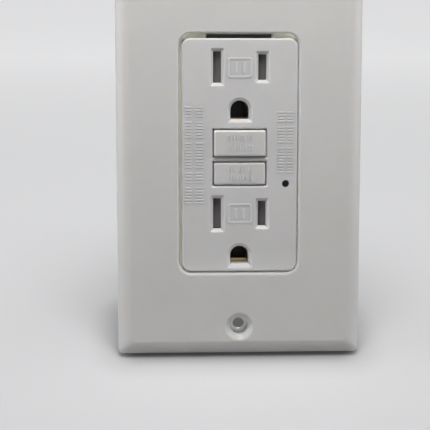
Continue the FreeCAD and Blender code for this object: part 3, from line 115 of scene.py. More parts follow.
def rectangle(half_width, half_height, radius, middle=(0.0, 0.0), steps=6):
    """Rounded rectangle in X and Z, anticlockwise as seen from the front."""
    signs = np.array([(1, -1), (1, 1), (-1, 1), (-1, -1)])
    corners = signs * (half_width, half_height) + np.array(middle)
    return rounded_path(corners, radius, steps, closed=True)


def circle(radius, middle=(0.0, 0.0), count=32):
    """Points evenly round a circle in X and Z, anticlockwise as seen from the front."""
    angle = np.arange(count) * 2 * np.pi / count
    return radius * np.stack([np.cos(angle), np.sin(angle)], axis=1) + np.array(middle)


def at(outline, depth):
    """An outline in space: its depth counts from the wall towards the viewer, so Y is its negative."""
    return np.stack([outline[:, 0], -np.broadcast_to(depth, len(outline)), outline[:, 1]], axis=1)


def skin(levels):
    """Quads between neighbouring closed loops, all with the same number of points."""
    grid = np.stack(levels)
    rows, around = grid.shape[:2]
    here = np.arange(around)
    row = np.arange(rows - 1)[:, None] * around
    after = (here + 1) % around
    faces = np.stack([row + here, row + after, row + around + after, row + around + here], axis=2)
    return grid.reshape(-1, 3), faces.reshape(-1, 4).tolist()


def within(points, outline):
    """True for each point inside an outline: a ray along X from it crosses an odd number of sides."""
    x, z = points[:, 0, None], points[:, 1, None]
    x1, z1 = outline.T
    x2, z2 = np.roll(outline, -1, axis=0).T
    spans = (z1 > z) != (z2 > z)
    rise = np.where(z2 == z1, 1.0, z2 - z1)
    return (spans & (x < x1 + (x2 - x1) * (z - z1) / rise)).sum(1) % 2 == 1


def flat(outer, holes, depth, inner_points=()):
    """A face at one depth, inside one outline and outside others: a Delaunay triangulation that
    keeps every outline's sides, without the triangles whose middle lies in a hole."""
    loops = [outer, *holes]
    starts = np.cumsum([0] + [len(loop) for loop in loops[:-1]])
    sides = [start + np.stack([np.arange(len(loop)), np.roll(np.arange(len(loop)), -1)], axis=1)
             for start, loop in zip(starts, loops)]
    cloud = np.concatenate(loops + ([np.array(inner_points)] if len(inner_points) else []))
    points, _, faces, *_ = delaunay_2d_cdt(cloud.tolist(), np.concatenate(sides).tolist(), [], 1, 1e-6)
    points = np.array(points)
    faces = np.array(faces)
    middles = points[faces].mean(axis=1)
    kept = within(middles, outer)
    for hole in holes:
        kept &= ~within(middles, hole)
    return at(points, depth), faces[kept].tolist()


def build(name, parts, material, *nodes, body=None):
    """One mesh from parts in millimetres, each a pair of points and faces.

    Doubles are merged, faces turned outwards and shaded smooth except over sharp edges. The piece
    rides on the body of the CAD nodes that it stands for."""
    bm = bmesh.new()
    for points, faces in parts:
        verts = [bm.verts.new(point) for point in (np.asarray(points) * MM).tolist()]
        for face in faces:
            bm.faces.new([verts[index] for index in face])
    bmesh.ops.remove_doubles(bm, verts=bm.verts, dist=2e-6)
    bmesh.ops.dissolve_degenerate(bm, edges=bm.edges, dist=1e-6)
    bmesh.ops.recalc_face_normals(bm, faces=bm.faces)
    mesh = bpy.data.meshes.new(name)
    bm.to_mesh(mesh)
    bm.free()
    return finish_piece(name, mesh, material, nodes, body, 35)


def finish_piece(name, mesh, material, nodes, body, sharp):
    """Shade a mesh smooth up to `sharp` degrees, and put it on the body of the nodes it stands for."""
    mesh.polygons.foreach_set("use_smooth", np.ones(len(mesh.polygons), bool))
    mesh.set_sharp_from_angle(angle=np.radians(sharp))
    mesh.materials.append(material)
    piece = bpy.data.objects.new(name, mesh)
    bpy.context.scene.collection.objects.link(piece)
    weighted = piece.modifiers.new("Even shading", "WEIGHTED_NORMAL")
    weighted.keep_sharp = True
    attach(piece, body or BODIES[nodes[0]])
    if nodes:
        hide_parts(*nodes)
    return piece


def new_material(name):
    """A material, its node tree, its shader and the place on the object that patterns follow."""
    material = bpy.data.materials.new(name)
    material.use_nodes = True
    tree = material.node_tree
    shader = tree.nodes["Principled BSDF"]
    place = tree.nodes.new("ShaderNodeTexCoord").outputs["Object"]
    return material, tree, shader, place


def plug(tree, target, inputs):
    """Give a node its inputs, by name or number: a socket is linked, a plain value is set."""
    for name, value in inputs.items():
        if isinstance(value, bpy.types.NodeSocket):
            tree.links.new(value, target.inputs[name])
        else:
            target.inputs[name].default_value = value


def add_node(tree, kind, output, inputs, **settings):
    """Add a shader node with its settings and inputs, and hand on one of its outputs."""
    node = tree.nodes.new("ShaderNode" + kind)
    for name, setting in settings.items():
        setattr(node, name, setting)
    plug(tree, node, inputs)
    return node.outputs[output]


def noise(tree, place, scale, detail=2.0, roughness=0.5):
    """A noise value over a place."""
    return add_node(tree, "TexNoise", "Fac",
                    {"Vector": place, "Scale": scale, "Detail": detail, "Roughness": roughness})


def ramp(tree, value, *stops):
    """A colour ramp through pairs of position and colour."""
    steps = tree.nodes.new("ShaderNodeValToRGB")
    elements = steps.color_ramp.elements
    while len(elements) < len(stops):
        elements.new(0.5)
    for element, (position, colour) in zip(elements, stops):
        element.position = position
        element.color = (*colour, 1.0)
    tree.links.new(value, steps.inputs["Fac"])
    return steps.outputs["Color"]


def map_range(tree, value, start, end, low, high, interpolation="LINEAR"):
    """Carry a value from one range over to another, which it doesn't leave."""
    return add_node(tree, "MapRange", "Result", {"Value": value, "From Min": start, "From Max": end,
                                                 "To Min": low, "To Max": high},
                    interpolation_type=interpolation)


def span(tree, value, low, high):
    """Spread the middle of a noise value over a range."""
    return map_range(tree, value, 0.3, 0.7, low, high)


def ease(tree, value, start, end):
    """0 up to one value and 1 from another, smoothly between them."""
    return map_range(tree, value, start, end, 0.0, 1.0, "SMOOTHSTEP")


def bump(tree, height, distance):
    """Tilt the shading as a height pattern of that distance from low to high would."""
    return add_node(tree, "Bump", "Normal", {"Height": height, "Distance": distance})


def moulded(name, light, dark, roughness, grain=0.00002, cloud=60.0):
    """Moulded plastic: faint cloudy shifts of colour, handling marks in the gloss and a fine skin."""
    material, tree, shader, place = new_material(name)
    marks = noise(tree, place, cloud * 4, 5.0, 0.65)
    plug(tree, shader, {
        "Base Color": ramp(tree, noise(tree, place, cloud, 4.0, 0.6), (0.3, dark), (0.7, light)),
        "Roughness": span(tree, marks, roughness - 0.05, roughness + 0.07),
        "Normal": bump(tree, noise(tree, place, 2600.0), grain)})
    return material


def arithmetic(tree, operation, first, second):
    """A value from two others, of which the second may be a plain number."""
    return add_node(tree, "Math", "Value", {0: first, 1: second}, operation=operation)


def axis_of(tree, vector, axis):
    """A vector's X, Y or Z."""
    return add_node(tree, "SeparateXYZ", axis, {"Vector": vector})


def vector_step(tree, operation, vector, amount=(0.0, 0.0, 0.0)):
    """One step of vector arithmetic, with an amount in millimetres."""
    output = "Value" if operation == "LENGTH" else "Vector"
    return add_node(tree, "VectorMath", output, {0: vector, 1: np.array(amount) * MM}, operation=operation)


def outside_box(tree, place, middle, half):
    """How far a point lies outside a box, as a vector: its distance from the middle on each axis, less
    half the side."""
    away = vector_step(tree, "ABSOLUTE", vector_step(tree, "SUBTRACT", place, middle))
    return vector_step(tree, "SUBTRACT", away, half)


def how_far_outside(tree, place, middle, half):
    """How far a point lies outside a box, as one distance, which is 0 inside."""
    return vector_step(tree, "LENGTH", vector_step(tree, "MAXIMUM", outside_box(tree, place, middle, half)))


# Where the gap round the face lies, and the strength of the glow painted into it
face_half = np.array([16.35, 32.8])
face_lift = 0.45
gap_lead = 0.3
gap_width = 3.0
gap_fade = 1.0
gap_glow = 0.035


def white_moulding(name, colour, painted_gap_tone, roughness, gap_front, scatter):
    """Pale plastic that light enters. In the gap round the face, behind gap_front, it has a painted lighter,
    warmer tone and a weak painted glow, which stand in for the light that comes through its thin walls there."""
    shade = np.array(colour)
    material = moulded(name, shade, shade * 0.97, roughness)
    tree = material.node_tree
    shader = tree.nodes["Principled BSDF"]
    place = tree.nodes["Texture Coordinate"].outputs["Object"]
    around = outside_box(tree, place, (0, 0, face_lift), (face_half[0], 0, face_half[1]))
    beside = arithmetic(tree, "MAXIMUM", axis_of(tree, around, "X"), axis_of(tree, around, "Z"))
    deep = ease(tree, axis_of(tree, place, "Y"), -gap_front * MM, (gap_fade - gap_front) * MM)
    begun = ease(tree, beside, -gap_lead * MM, 0.0)
    past = ease(tree, beside, gap_width * MM, (gap_width + gap_fade) * MM)
    band = arithmetic(tree, "MULTIPLY", deep, arithmetic(tree, "SUBTRACT", begun, past))
    # Painted light: in the gap band the colour turns lighter and warmer and glows weakly, in place of light
    # through the plastic
    painted_gap_light = (*painted_gap_tone, 1.0)
    plain = shader.inputs["Base Color"].links[0].from_socket
    blend = add_node(tree, "Mix", "Result", {"Factor": band, "A": plain, "B": painted_gap_light}, data_type="RGBA")
    plug(tree, shader, {"Base Color": blend, "Emission Color": painted_gap_light,
                        "Emission Strength": arithmetic(tree, "MULTIPLY", band, gap_glow),
                        "Subsurface Weight": 0.7, "Subsurface Radius": (1.0, 0.92, 0.72),
                        "Subsurface Scale": scatter * MM})
    return material


# The second colour is the painted light tone and glow colour of the gap round the face
white_plate = white_moulding("white_plate", (0.64, 0.632, 0.622), (0.95, 0.94, 0.83), 0.38, 5.2, 2.2)

plate_low, plate_high = node_box("wall_plate")
plate_middle = (0.0, (plate_low[2] + plate_high[2]) / 2)
plate_half = np.array([plate_high[0] - plate_low[0], plate_high[2] - plate_low[2]]) / 2
plate_front = -plate_low[1]
plate_corner = 1.3
rim_height = 3.6
rim_draft = 0.35
bevel_run = 3.8
bevel_crease_slope = np.radians(14.0)
bevel_rim_slope = np.radians(50.0)
crease_round = 1.0
shell_wall = 2.0
opening_sides = np.array([-17.05, 16.39, 34.7, -32.45])
opening_rounds = np.array([-0.5, 0.9, 0.4, -1.45])
opening_corner = 3.3
opening_round_depth = 1.25
plate_screw_z = 48.42
countersink_radius = 3.95
countersink_round = 0.9
plate_hole_radius = 2.45
boss_radius = 4.7
strap_front = 1.3


def inset_level(inset, depth, corner):
    """The plate's outline drawn in by an inset, at a depth."""
    half_width, half_height = plate_half - inset
    return at(rectangle(half_width, half_height, corner, plate_middle, 8), depth)


front_inset = rim_draft + bevel_run
bevel_rise = plate_front - rim_height
bevel_turn = (bevel_rim_slope - bevel_crease_slope) / 2
bevel_tangent = np.hypot(bevel_run, bevel_rise) / 2 / np.cos(bevel_turn)
bevel_shoulder = (front_inset - bevel_tangent * np.cos(bevel_crease_slope),
                  plate_front - bevel_tangent * np.sin(bevel_crease_slope))
outside = rounded_path([(0.0, 0.0), (rim_draft, rim_height), bevel_shoulder, (front_inset, plate_front),
                        (front_inset + 3.0, plate_front)],
                       [0.3, bevel_tangent / np.tan(bevel_turn) * 0.86, crease_round], 8)[:-1]
inside_depth = plate_front - shell_wall
inside_inset = shell_wall + bevel_run
inside = rounded_path([(shell_wall, 0.0), (shell_wall, rim_height - shell_wall / 2),
                       (inside_inset, inside_depth), (inside_inset + 2.0, inside_depth)],
                      [0.5, 0.8], 4)[:-1]
outer_levels = [inset_level(inset, depth, plate_corner) for inset, depth in outside]
inner_levels = [inset_level(inset, depth, 0.6) for inset, depth in inside]


def opening_level(share, depth):
    """The opening's outline where its rounded edge has opened by a share of its radius, at a depth."""
    left, right, top, bottom = opening_sides + share * opening_rounds
    corner = opening_corner - share * opening_rounds[0]
    middle = ((left + right) / 2, (top + bottom) / 2)
    return at(rectangle((right - left) / 2, (top - bottom) / 2, corner, middle, 8), depth)


opening_levels = [opening_level(1 - np.sin(angle), plate_front - opening_round_depth * (1 - np.cos(angle)))
                  for angle in np.linspace(0, np.pi / 2, 8)]
opening_levels.append(opening_level(0.0, inside_depth))
sink_depth = countersink_radius - plate_hole_radius
sink = rounded_path([(countersink_radius + countersink_round, plate_front), (countersink_radius, plate_front),
                     (plate_hole_radius, plate_front - sink_depth), (plate_hole_radius, strap_front)],
                    [countersink_round, 0.5], 6)[1:]
plate_parts = [skin(outer_levels), skin(inner_levels), skin(opening_levels),
               skin([outer_levels[0], inner_levels[0]])]


def drop_depth(level):
    """The outline of a level in space, without its depth."""
    return level[:, [0, 2]]


sinks = []
bosses = []
for middle in ((0.0, plate_screw_z), (0.0, -plate_screw_z)):
    levels = [at(circle(radius, middle), depth) for radius, depth in sink]
    shoulder = [at(circle(boss_radius, middle), depth) for depth in (inside_depth, strap_front)]
    plate_parts += [skin(levels), skin(shoulder), skin([shoulder[-1], levels[-1]])]
    sinks.append(drop_depth(levels[0]))
    bosses.append(drop_depth(shoulder[0]))
plate_parts += [flat(drop_depth(outer_levels[-1]), [drop_depth(opening_levels[0]), *sinks], plate_front),
                flat(drop_depth(inner_levels[-1]), [drop_depth(opening_levels[-1]), *bosses], inside_depth)]
build("wall_plate_shell", plate_parts, white_plate, "wall_plate")

# Front cover. The white moulding that the user sees through the plate: a flange behind the plate, a
# raised face block with slots for two plugs, a window for each button and a hole for the indicator,
# and at the back a skirt round the strap and four bosses for the assembly screws.

# The second colour is the painted light tone and glow colour of the gap round the face
white_cover = white_moulding("white_cover", (0.64, 0.632, 0.63), (0.95, 0.94, 0.83), 0.36, 4.6, 2.2)

face_depth = 5.7
face_corner = 2.5
face_round = 0.45
flange_depth = 3.2
flange_x, _, flange_z = node_box("front_cover")[1]
skirt_wall = 1.1
skirt_end_x = 14.3
notch_x = 9.65
notch_gap = 0.1
notch_top = face_lift + face_half[1] + notch_gap
notch_bottom = face_lift - face_half[1] - notch_gap
lip_rise = 0.36
lip_run = 4.6
lip_top = face_lift - face_half[1] + lip_run
slot_half_width = 1.1
slot_lead = 0.9
blade_x = 6.35
ground_half = 2.6
ground_drop = 11.89
sleeve_wall = 0.09
sleeve_end = -1.2
sleeve_corner = 0.97
# Painted glow on the floor of the lower ground hole: where it starts and how strong it is
painted_glow_front = 4.9
painted_floor_glow = 0.17
pocket_half = np.array([13.2, 4.95])
pocket_depth = 3.7
receptacles = {"upper": 25.3, "lower": -15.9}
slot_heights = {-1: 8.7, 1: 7.1}
window_half_width = 7.55
windows = {"reset": (0.1, 8.05), "test": (-7.95, -1.1)}
window_lead = 0.4
ears_half = (8.45, 7.8)
ears_depth = 1.9
light_place = (13.0, -7.4)
light_radius = 1.0
cover_boss_places = [(x, z) for x in (-17.0, 17.0) for z in (-30.5, 30.5)]
cover_boss_radius = 2.4
cover_boss_end = -6.0
cover_tap_radius = 1.2
cover_tap_end = -1.0

# A painted glow stands in for the light that comes through the plastic: it shows on the floor of the lower
# ground hole, most near the front
tree = white_cover.node_tree
emission = tree.nodes["Principled BSDF"].inputs["Emission Strength"]
place = tree.nodes["Texture Coordinate"].outputs["Object"]
floor_middle = (0.0, -(painted_glow_front + sleeve_end) / 2, receptacles["lower"] - ground_drop - ground_half)
floor_half = (ground_half - 0.2, (painted_glow_front - sleeve_end) / 2, 0.1)
away = how_far_outside(tree, place, floor_middle, floor_half)
towards_front = ease(tree, axis_of(tree, place, "Y"), 3.0 * MM, -4.5 * MM)
hole_floor_glow = arithmetic(tree, "MULTIPLY", ease(tree, away, 0.15 * MM, 0.0), towards_front)
hole_floor_glow = arithmetic(tree, "MULTIPLY", hole_floor_glow, painted_floor_glow)
tree.links.new(arithmetic(tree, "MAXIMUM", hole_floor_glow, emission.links[0].from_socket), emission)


def mouth(outline_of, lead, end_depth, edge_round=0.12):
    """Levels of a hole that starts as a chamfer of `lead` in the face and runs straight to a depth.
    outline_of gives the hole's outline grown by a distance on every side."""
    run = rounded_path([(lead + 0.5, face_depth), (lead, face_depth), (0.0, face_depth - lead),
                        (0.0, end_depth)], edge_round, 3)[1:]
    return [at(outline_of(reach), depth) for reach, depth in run]


def slot_outline(middle, half_width, half_height):
    """A rectangle's outline, for any distance that it is grown by."""
    return lambda reach: rectangle(half_width + reach, half_height + reach, 0.12 + reach * 0.2, middle, 3)


def ground_outline(middle):
    """Round above and square below: the upper corners' arcs meet at the top."""
    def grown(reach, corner=0.25):
        """The outline grown by a distance, with a radius for its lower corners."""
        half = ground_half + reach
        corners = np.array([(half, -half), (half, half), (-half, half), (-half, -half)]) + middle
        return rounded_path(corners, [corner, half, half, corner], 8, closed=True)
    return grown


def raise_lip(points):
    """Lift the face's lower end by a concave arc: lip_rise over lip_run, flat where it starts."""
    radius = (lip_rise ** 2 + lip_run ** 2) / (2 * lip_rise)
    run = np.clip(lip_top - points[:, 2], 0.0, radius * 0.999)
    share = np.clip((-points[:, 1] - flange_depth) / (face_depth - flange_depth), 0.0, 1.0)
    lifted = points.copy()
    lifted[:, 1] -= share * (radius - np.sqrt(radius ** 2 - run ** 2))
    return lifted


def both_sides(right_side, radii):
    """The rounded outline whose right side goes up through some corners and whose left side mirrors it."""
    left_side = [(-x, z) for x, z in reversed(right_side)]
    return rounded_path(right_side + left_side, radii + radii[::-1], 6, closed=True)


skirt_x, skirt_z = flange_x - skirt_wall, flange_z - skirt_wall
lower_notch = [(notch_x, notch_bottom), (notch_x, -flange_z)]
upper_notch = [(notch_x, flange_z), (notch_x, notch_top)]
outer_side = [(skirt_end_x, -flange_z), (flange_x, -flange_z), (flange_x, flange_z), (skirt_end_x, flange_z)]
inner_side = [(skirt_end_x, -skirt_z), (skirt_x, -skirt_z), (skirt_x, skirt_z), (skirt_end_x, skirt_z)]
outer_radii = [0, 2.0, 2.0, 0]
inner_radii = [0, 0.9, 0.9, 0]
flange_outline = both_sides(lower_notch + outer_side + upper_notch, [0.3, 0, *outer_radii, 0, 0.3])
back_outline = both_sides([*lower_notch, outer_side[0], *inner_side, outer_side[-1], *upper_notch],
                          [0.3, 0, 0, *inner_radii, 0, 0, 0.3])

block_run = rounded_path([(0.0, flange_depth), (0.0, face_depth), (1.5, face_depth)], face_round, 6)[:-1]
block_levels = [at(rectangle(*(face_half - inset), face_corner - inset, (0, face_lift), 10), depth)
                for inset, depth in block_run]
cover_parts = [skin(block_levels), skin([at(flange_outline, flange_depth), at(flange_outline, strap_front)])]
cover_parts.append(flat(flange_outline, [drop_depth(block_levels[0])], flange_depth))

face_holes = []
back_holes = []


def open_hole(levels, holes_behind):
    """Add a hole's levels to the cover, which open in its face and into a face behind."""
    cover_parts.append(skin(levels))
    face_holes.append(drop_depth(levels[0]))
    holes_behind.append(drop_depth(levels[-1]))


for middle_z in receptacles.values():
    pocket = rectangle(*pocket_half, 0.4, (0.0, middle_z), 3)
    cover_parts.append(skin([at(pocket, strap_front), at(pocket, pocket_depth)]))
    back_holes.append(pocket)
    ceiling_holes = []
    for side, height in slot_heights.items():
        outline = slot_outline((side * blade_x, middle_z), slot_half_width, height / 2)
        open_hole(mouth(outline, slot_lead, pocket_depth), ceiling_holes)
    cover_parts.append(flat(pocket, ceiling_holes, pocket_depth))
    ground = ground_outline((0.0, middle_z - ground_drop))
    sleeve_run = [(0.0, strap_front - 0.1), (0.0, sleeve_end), (sleeve_wall, sleeve_end),
                  (sleeve_wall, strap_front)]
    sleeve = [at(ground(reach, sleeve_corner + reach), depth) for reach, depth in sleeve_run]
    open_hole(mouth(ground, slot_lead, strap_front) + sleeve, back_holes)
ears_pocket = rectangle(*ears_half, 0.3, (0.0, 0.05), 3)
window_ends = []
for low, high in windows.values():
    outline = slot_outline((0.0, (low + high) / 2), window_half_width, (high - low) / 2)
    open_hole(mouth(outline, window_lead, ears_depth), window_ends)
cover_parts += [skin([at(ears_pocket, strap_front), at(ears_pocket, ears_depth)]),
                flat(ears_pocket, window_ends, ears_depth)]
back_holes.append(ears_pocket)
open_hole(mouth(lambda reach: circle(light_radius + reach, light_place, 24), 0.1, strap_front, 0.05),
          back_holes)
for middle in cover_boss_places:
    boss = [(cover_boss_radius, strap_front), (cover_boss_radius, cover_boss_end + 0.3),
            (cover_boss_radius - 0.3, cover_boss_end), (cover_tap_radius, cover_boss_end),
            (cover_tap_radius, cover_tap_end)]
    levels = [at(circle(radius, middle, 24), depth) for radius, depth in boss]
    cover_parts += [skin(levels), flat(drop_depth(levels[-1]), [], cover_tap_end)]
    back_holes.append(drop_depth(levels[0]))

# The face gets points of its own where the lip bends it
lip_points = np.stack(np.meshgrid(np.linspace(-15.5, 15.5, 24), np.linspace(lip_top, lip_top - 4.4, 12)),
                      axis=-1).reshape(-1, 2)
clear = ~within(lip_points, ground_outline((0.0, receptacles["lower"] - ground_drop))(slot_lead + 0.15))
cover_parts.append(flat(drop_depth(block_levels[-1]), face_holes, face_depth, lip_points[clear]))
cover_parts.append(flat(back_outline, back_holes, strap_front))
hook = np.array(outer_side + inner_side[::-1])
for side in (1, -1):
    outline = rounded_path(hook * (side, 1), outer_radii + inner_radii, 6, closed=True)
    cover_parts += [skin([at(outline, strap_front), at(outline, 0.0)]), flat(outline, [], 0.0)]
cover_parts = [(raise_lip(points), faces) for points, faces in cover_parts]
build("front_cover_shell", cover_parts, white_cover, "front_cover")

# Raised marks. Where such covers have moulded notes stand plain ribs: fine cross bars in two columns
# beside each edge, and a framed pair of bars between the blade slots. They are part of the cover. So
# thin a piece would lose the light that enters it, so its plastic has no scattering.

# The marks' plastic is painted a little lighter than the cover's, to offset the shade that falls between the
# ribs
marks_painted_lighter = moulded("marks_painted_lighter", (0.665, 0.655, 0.652), (0.645, 0.636, 0.633), 0.36)
mark_root = 0.08
frame_rise = 0.125
frame_edge = 0.07
frame_outside = (3.5, 2.9, 0.9)
frame_inside = (2.85, 2.25, 0.4)
frame_lifts = {"upper": -0.15, "lower": 0.05}
columns = [(-14.45, 1.0, (14.1, -12.9)), (-11.4, 1.15, (14.1, -12.9)),
           (11.65, 1.0, (12.7, -4.4)), (14.25, 0.95, (12.7, -4.4))]
word_ends = np.cumsum([4, 6, 9] * 3)
rib_pitch = 0.84


def rib(middle, half_width, half_height, base, rise=0.15):
    """A low raised bar with sloping sides, closed underneath just inside the face it stands on."""
    run = [(0.0, base - mark_root), (0.0, base + rise * 0.4), (0.07, base + rise), (0.12, base + rise)]
    levels = [at(rectangle(half_width - inset, half_height - inset, 0.1 - inset * 0.5, middle, 2), depth)
              for inset, depth in run]
    return [skin(levels), flat(drop_depth(levels[-1]), [], base + rise),
            flat(drop_depth(levels[0]), [], base - mark_root)]


mark_parts = []
for middle_x, half_width, (top, bottom) in columns:
    z = top
    number = 0
    while z > bottom:
        width = half_width * (0.72 if number % 3 == 2 else 1.0)
        mark_parts += rib((middle_x, z), width, 0.2, face_depth)
        number += 1
        z -= rib_pitch * (2 if number in word_ends else 1)
for which, lift in frame_lifts.items():
    middle = (0.0, receptacles[which] + lift)
    for across in (-1.1, 1.1):
        mark_parts += rib((across, middle[1]), 0.36, 1.5, face_depth)
    sides = []
    for (half_width, half_height, corner), growth, rounder in ((frame_outside, -1, -1), (frame_inside, 1, 0)):
        sides.append([at(rectangle(half_width + growth * inset, half_height + growth * inset,
                                   corner + rounder * inset, middle, 5), face_depth + rise)
                      for inset, rise in ((0.0, -mark_root), (0.0, frame_edge), (0.08, frame_rise))])
    outer, inner = sides
    mark_parts += [skin(outer), skin(inner), skin([outer[-1], inner[-1]]), skin([outer[0], inner[0]])]
build("cover_marks", mark_parts, marks_painted_lighter, body="outlet")

# Buttons. Two white caps with rounded front edges, held behind the cover by an ear at each side. The
# reset button stands proud when the outlet is tripped. Their marks are two rows of fine ribs.

# The second colour is the painted light tone and glow colour of the gap round the buttons
white_button = white_moulding("white_button", (0.635, 0.625, 0.618), (0.80, 0.79, 0.72), 0.34, 4.6, 1.0)

button_back = 0.5
button_fronts = {"reset": 6.9, "test": 5.9}
button_gap = np.array([0.25, 0.3])
button_round = 0.6
button_corner = 0.45
button_lift = 0.02
ear_front = 1.8
ear_reach = 0.95
ear_shy = 0.6
ear_round = 0.2
stem_radius = 1.6
stem_end = -3.0
button_rows = {"reset": 1.35, "test": 1.2}
button_rib_pitch = 0.82

for name, front in button_fronts.items():
    low, high = windows[name]
    middle = (0.0, (low + high) / 2)
    half = np.array([window_half_width, (high - low) / 2]) - button_gap
    ear_x, ear_z = half + (ear_reach, -ear_shy)
    cap_corners = [(half[0], -half[1]), (half[0], -ear_z), (half[0], ear_z), (half[0], half[1])]
    cap_corners += [(-x, -z) for x, z in cap_corners]
    cap_radii = np.array([button_corner, 0, 0, button_corner] * 2)

    def cap(inset):
        """The cap's outline drawn in by an inset, with its ear corners kept as points."""
        corners = np.array(cap_corners) * (1 - inset / half) + middle
        return rounded_path(corners, cap_radii * (1 - inset / 2), 6, closed=True)

    ear = np.array([(half[0], -ear_z), (ear_x, -ear_z), (ear_x, ear_z), (half[0], ear_z)])
    wide_corners = np.array([(half[0], -half[1]), *ear, (half[0], half[1])])
    wide_radii = [button_corner, 0, ear_round, ear_round, 0, button_corner] * 2
    wide = rounded_path(np.concatenate([wide_corners, -wide_corners]) + middle, wide_radii, 6, closed=True)
    front_run = rounded_path([(0.0, ear_front), (0.0, front), (button_round + 0.6, front)],
                             button_round, 7)[:-1]
    cap_levels = [at(cap(inset), depth) for inset, depth in front_run]
    top = front + button_lift
    cap_levels.append(at(cap(button_round + 0.5), top))
    parts = [skin(cap_levels), flat(drop_depth(cap_levels[-1]), [], top),
             skin([at(wide, button_back), at(wide, ear_front)])]
    for side in (1, -1):
        ear_outline = rounded_path(ear * (side, 1) + middle, [0, ear_round, ear_round, 0], 6, closed=True)
        parts.append(flat(ear_outline, [], ear_front))
    stems = []
    if name == "test":
        stem = [at(circle(stem_radius, middle, 24), depth) for depth in (button_back, stem_end)]
        parts += [skin(stem), flat(drop_depth(stem[1]), [], stem_end)]
        stems.append(drop_depth(stem[0]))
    parts.append(flat(wide, stems, button_back))
    build(name + "_button_cap", parts, white_button, name + "_button")
    ribs = []
    for row, shift in ((1, 0.0), (-1, 0.15)):
        for number in range(9):
            place = ((number - 4) * button_rib_pitch + shift, middle[1] + row * button_rows[name])
            ribs += rib(place, 0.17, 0.85 if number % 3 else 0.6, top, 0.2)
    build(name + "_button_marks", ribs, marks_painted_lighter, body=name)

# Mounting strap. A zinc-plated steel stamping carries the device: a slotted ear at each end, windows
# for the plugs' pins and the mechanism, and a bent tab for the ground screw.

edge_angle = 32


def eased(name, node, material, edge, split_below=None):
    """A CAD node's own solid with its edges broken: a merged copy whose flat areas are joined, and a
    small round of width `edge` along its sharp edges. A large face that goes round a hole would be
    filled across it, so those whose normal has a Y below split_below are split into convex ones."""
    bm = bmesh.new()
    bm.from_mesh(frame["nodes"][node].data)
    bmesh.ops.remove_doubles(bm, verts=bm.verts, dist=2e-6)
    bmesh.ops.dissolve_limit(bm, angle_limit=np.radians(0.3), verts=bm.verts, edges=bm.edges)
    if split_below is not None:
        large = [face for face in bm.faces if len(face.verts) > 20 and face.normal.y < split_below]
        bmesh.ops.connect_verts_concave(bm, faces=large)
    mesh = bpy.data.meshes.new(name)
    bm.to_mesh(mesh)
    bm.free()
    piece = finish_piece(name, mesh, material, (node,), None, edge_angle)
    rounds = piece.modifiers.new("Broken edges", "BEVEL")
    rounds.width = edge * MM
    rounds.segments = 2
    rounds.limit_method = "ANGLE"
    rounds.angle_limit = np.radians(edge_angle)
    rounds.use_clamp_overlap = False
    piece.modifiers.move(1, 0)
    return piece


def metal(name, colour, roughness, drawn=(1.0, 1.0, 1.0), patches=0.9):
    """Bare or plated metal: a tone that clouds over in patches, and fine lines drawn out along the
    axes whose share in `drawn` is low."""
    material, tree, shader, place = new_material(name)
    shade = np.array(colour)
    tone = ramp(tree, noise(tree, place, 110.0, 5.0, 0.6), (0.3, shade * patches), (0.7, shade))
    stretched = add_node(tree, "Mapping", "Vector", {"Vector": place, "Scale": drawn})
    lines = noise(tree, stretched, 900.0, 4.0, 0.65)
    plug(tree, shader, {"Base Color": tone, "Metallic": 1.0, "Normal": bump(tree, lines, 0.00001),
                        "Roughness": span(tree, lines, roughness - 0.07, roughness + 0.12)})
    return material


plated_steel = metal("plated_steel", (0.70, 0.705, 0.69), 0.36, (0.25, 1.0, 1.0), 0.86)
eased("strap_stamping", "mounting_strap", plated_steel, 0.1)

# Ground contacts. Two pairs of springy bronze jaws stand behind the strap, one for each round pin, with
# a bent tongue under the pin. Two brass rivets with peened heads hold each pair.

brass = metal("brass", (0.70, 0.49, 0.22), 0.36, (1.0, 1.0, 0.2))
for which in receptacles:
    eased("ground_jaws_" + which, "ground_contact_" + which, brass, 0.08, 2.0)


def placed(parts, axis, origin, direction=1, turn=0.0):
    """Parts made along their own third axis, turned about it and laid along X, Y or Z from an origin.
    A direction of -1 turns them end for end."""
    cosine, sine = np.cos(turn), np.sin(turn)
    spin = np.array([[cosine, sine, 0.0], [-sine, cosine, 0.0], [0.0, 0.0, 1.0]])
    order = {"x": (2, 0, 1), "y": (1, 2, 0), "z": (0, 1, 2)}[axis]
    return [((np.asarray(points) @ spin * (direction, 1, direction))[:, order] + np.array(origin), faces)
            for points, faces in parts]


def rings(radius, along, count):
    """Loops round the third axis: each has a radius, or one for each of its points, and a height."""
    angle = np.arange(count) * 2 * np.pi / count
    radius = np.broadcast_to(radius, (len(along), count))
    height = np.broadcast_to(along, (len(along), count))
    return skin(list(np.stack([radius * np.cos(angle), radius * np.sin(angle), height], axis=2)))


def revolve(profile, count=32):
    """A profile of radius and height pairs, carried round the third axis."""
    radius, along = np.array(profile, float).T[:, :, None]
    return rings(radius, along, count)


def turned(corners, radii, steps=4, count=28):
    """A solid turned on a lathe, from the rounded corners of its profile between the ends' middles."""
    profile = [(0.0, corners[0][1]), *corners, (0.0, corners[-1][1])]
    return revolve(rounded_path(profile, radii, steps), count)


def lid(loop):
    """One face that closes a loop of points."""
    return np.asarray(loop), [list(range(len(loop)))]


def level(outline, height):
    """An outline at one height on its own third axis."""
    return np.column_stack([outline, np.full(len(outline), height)])


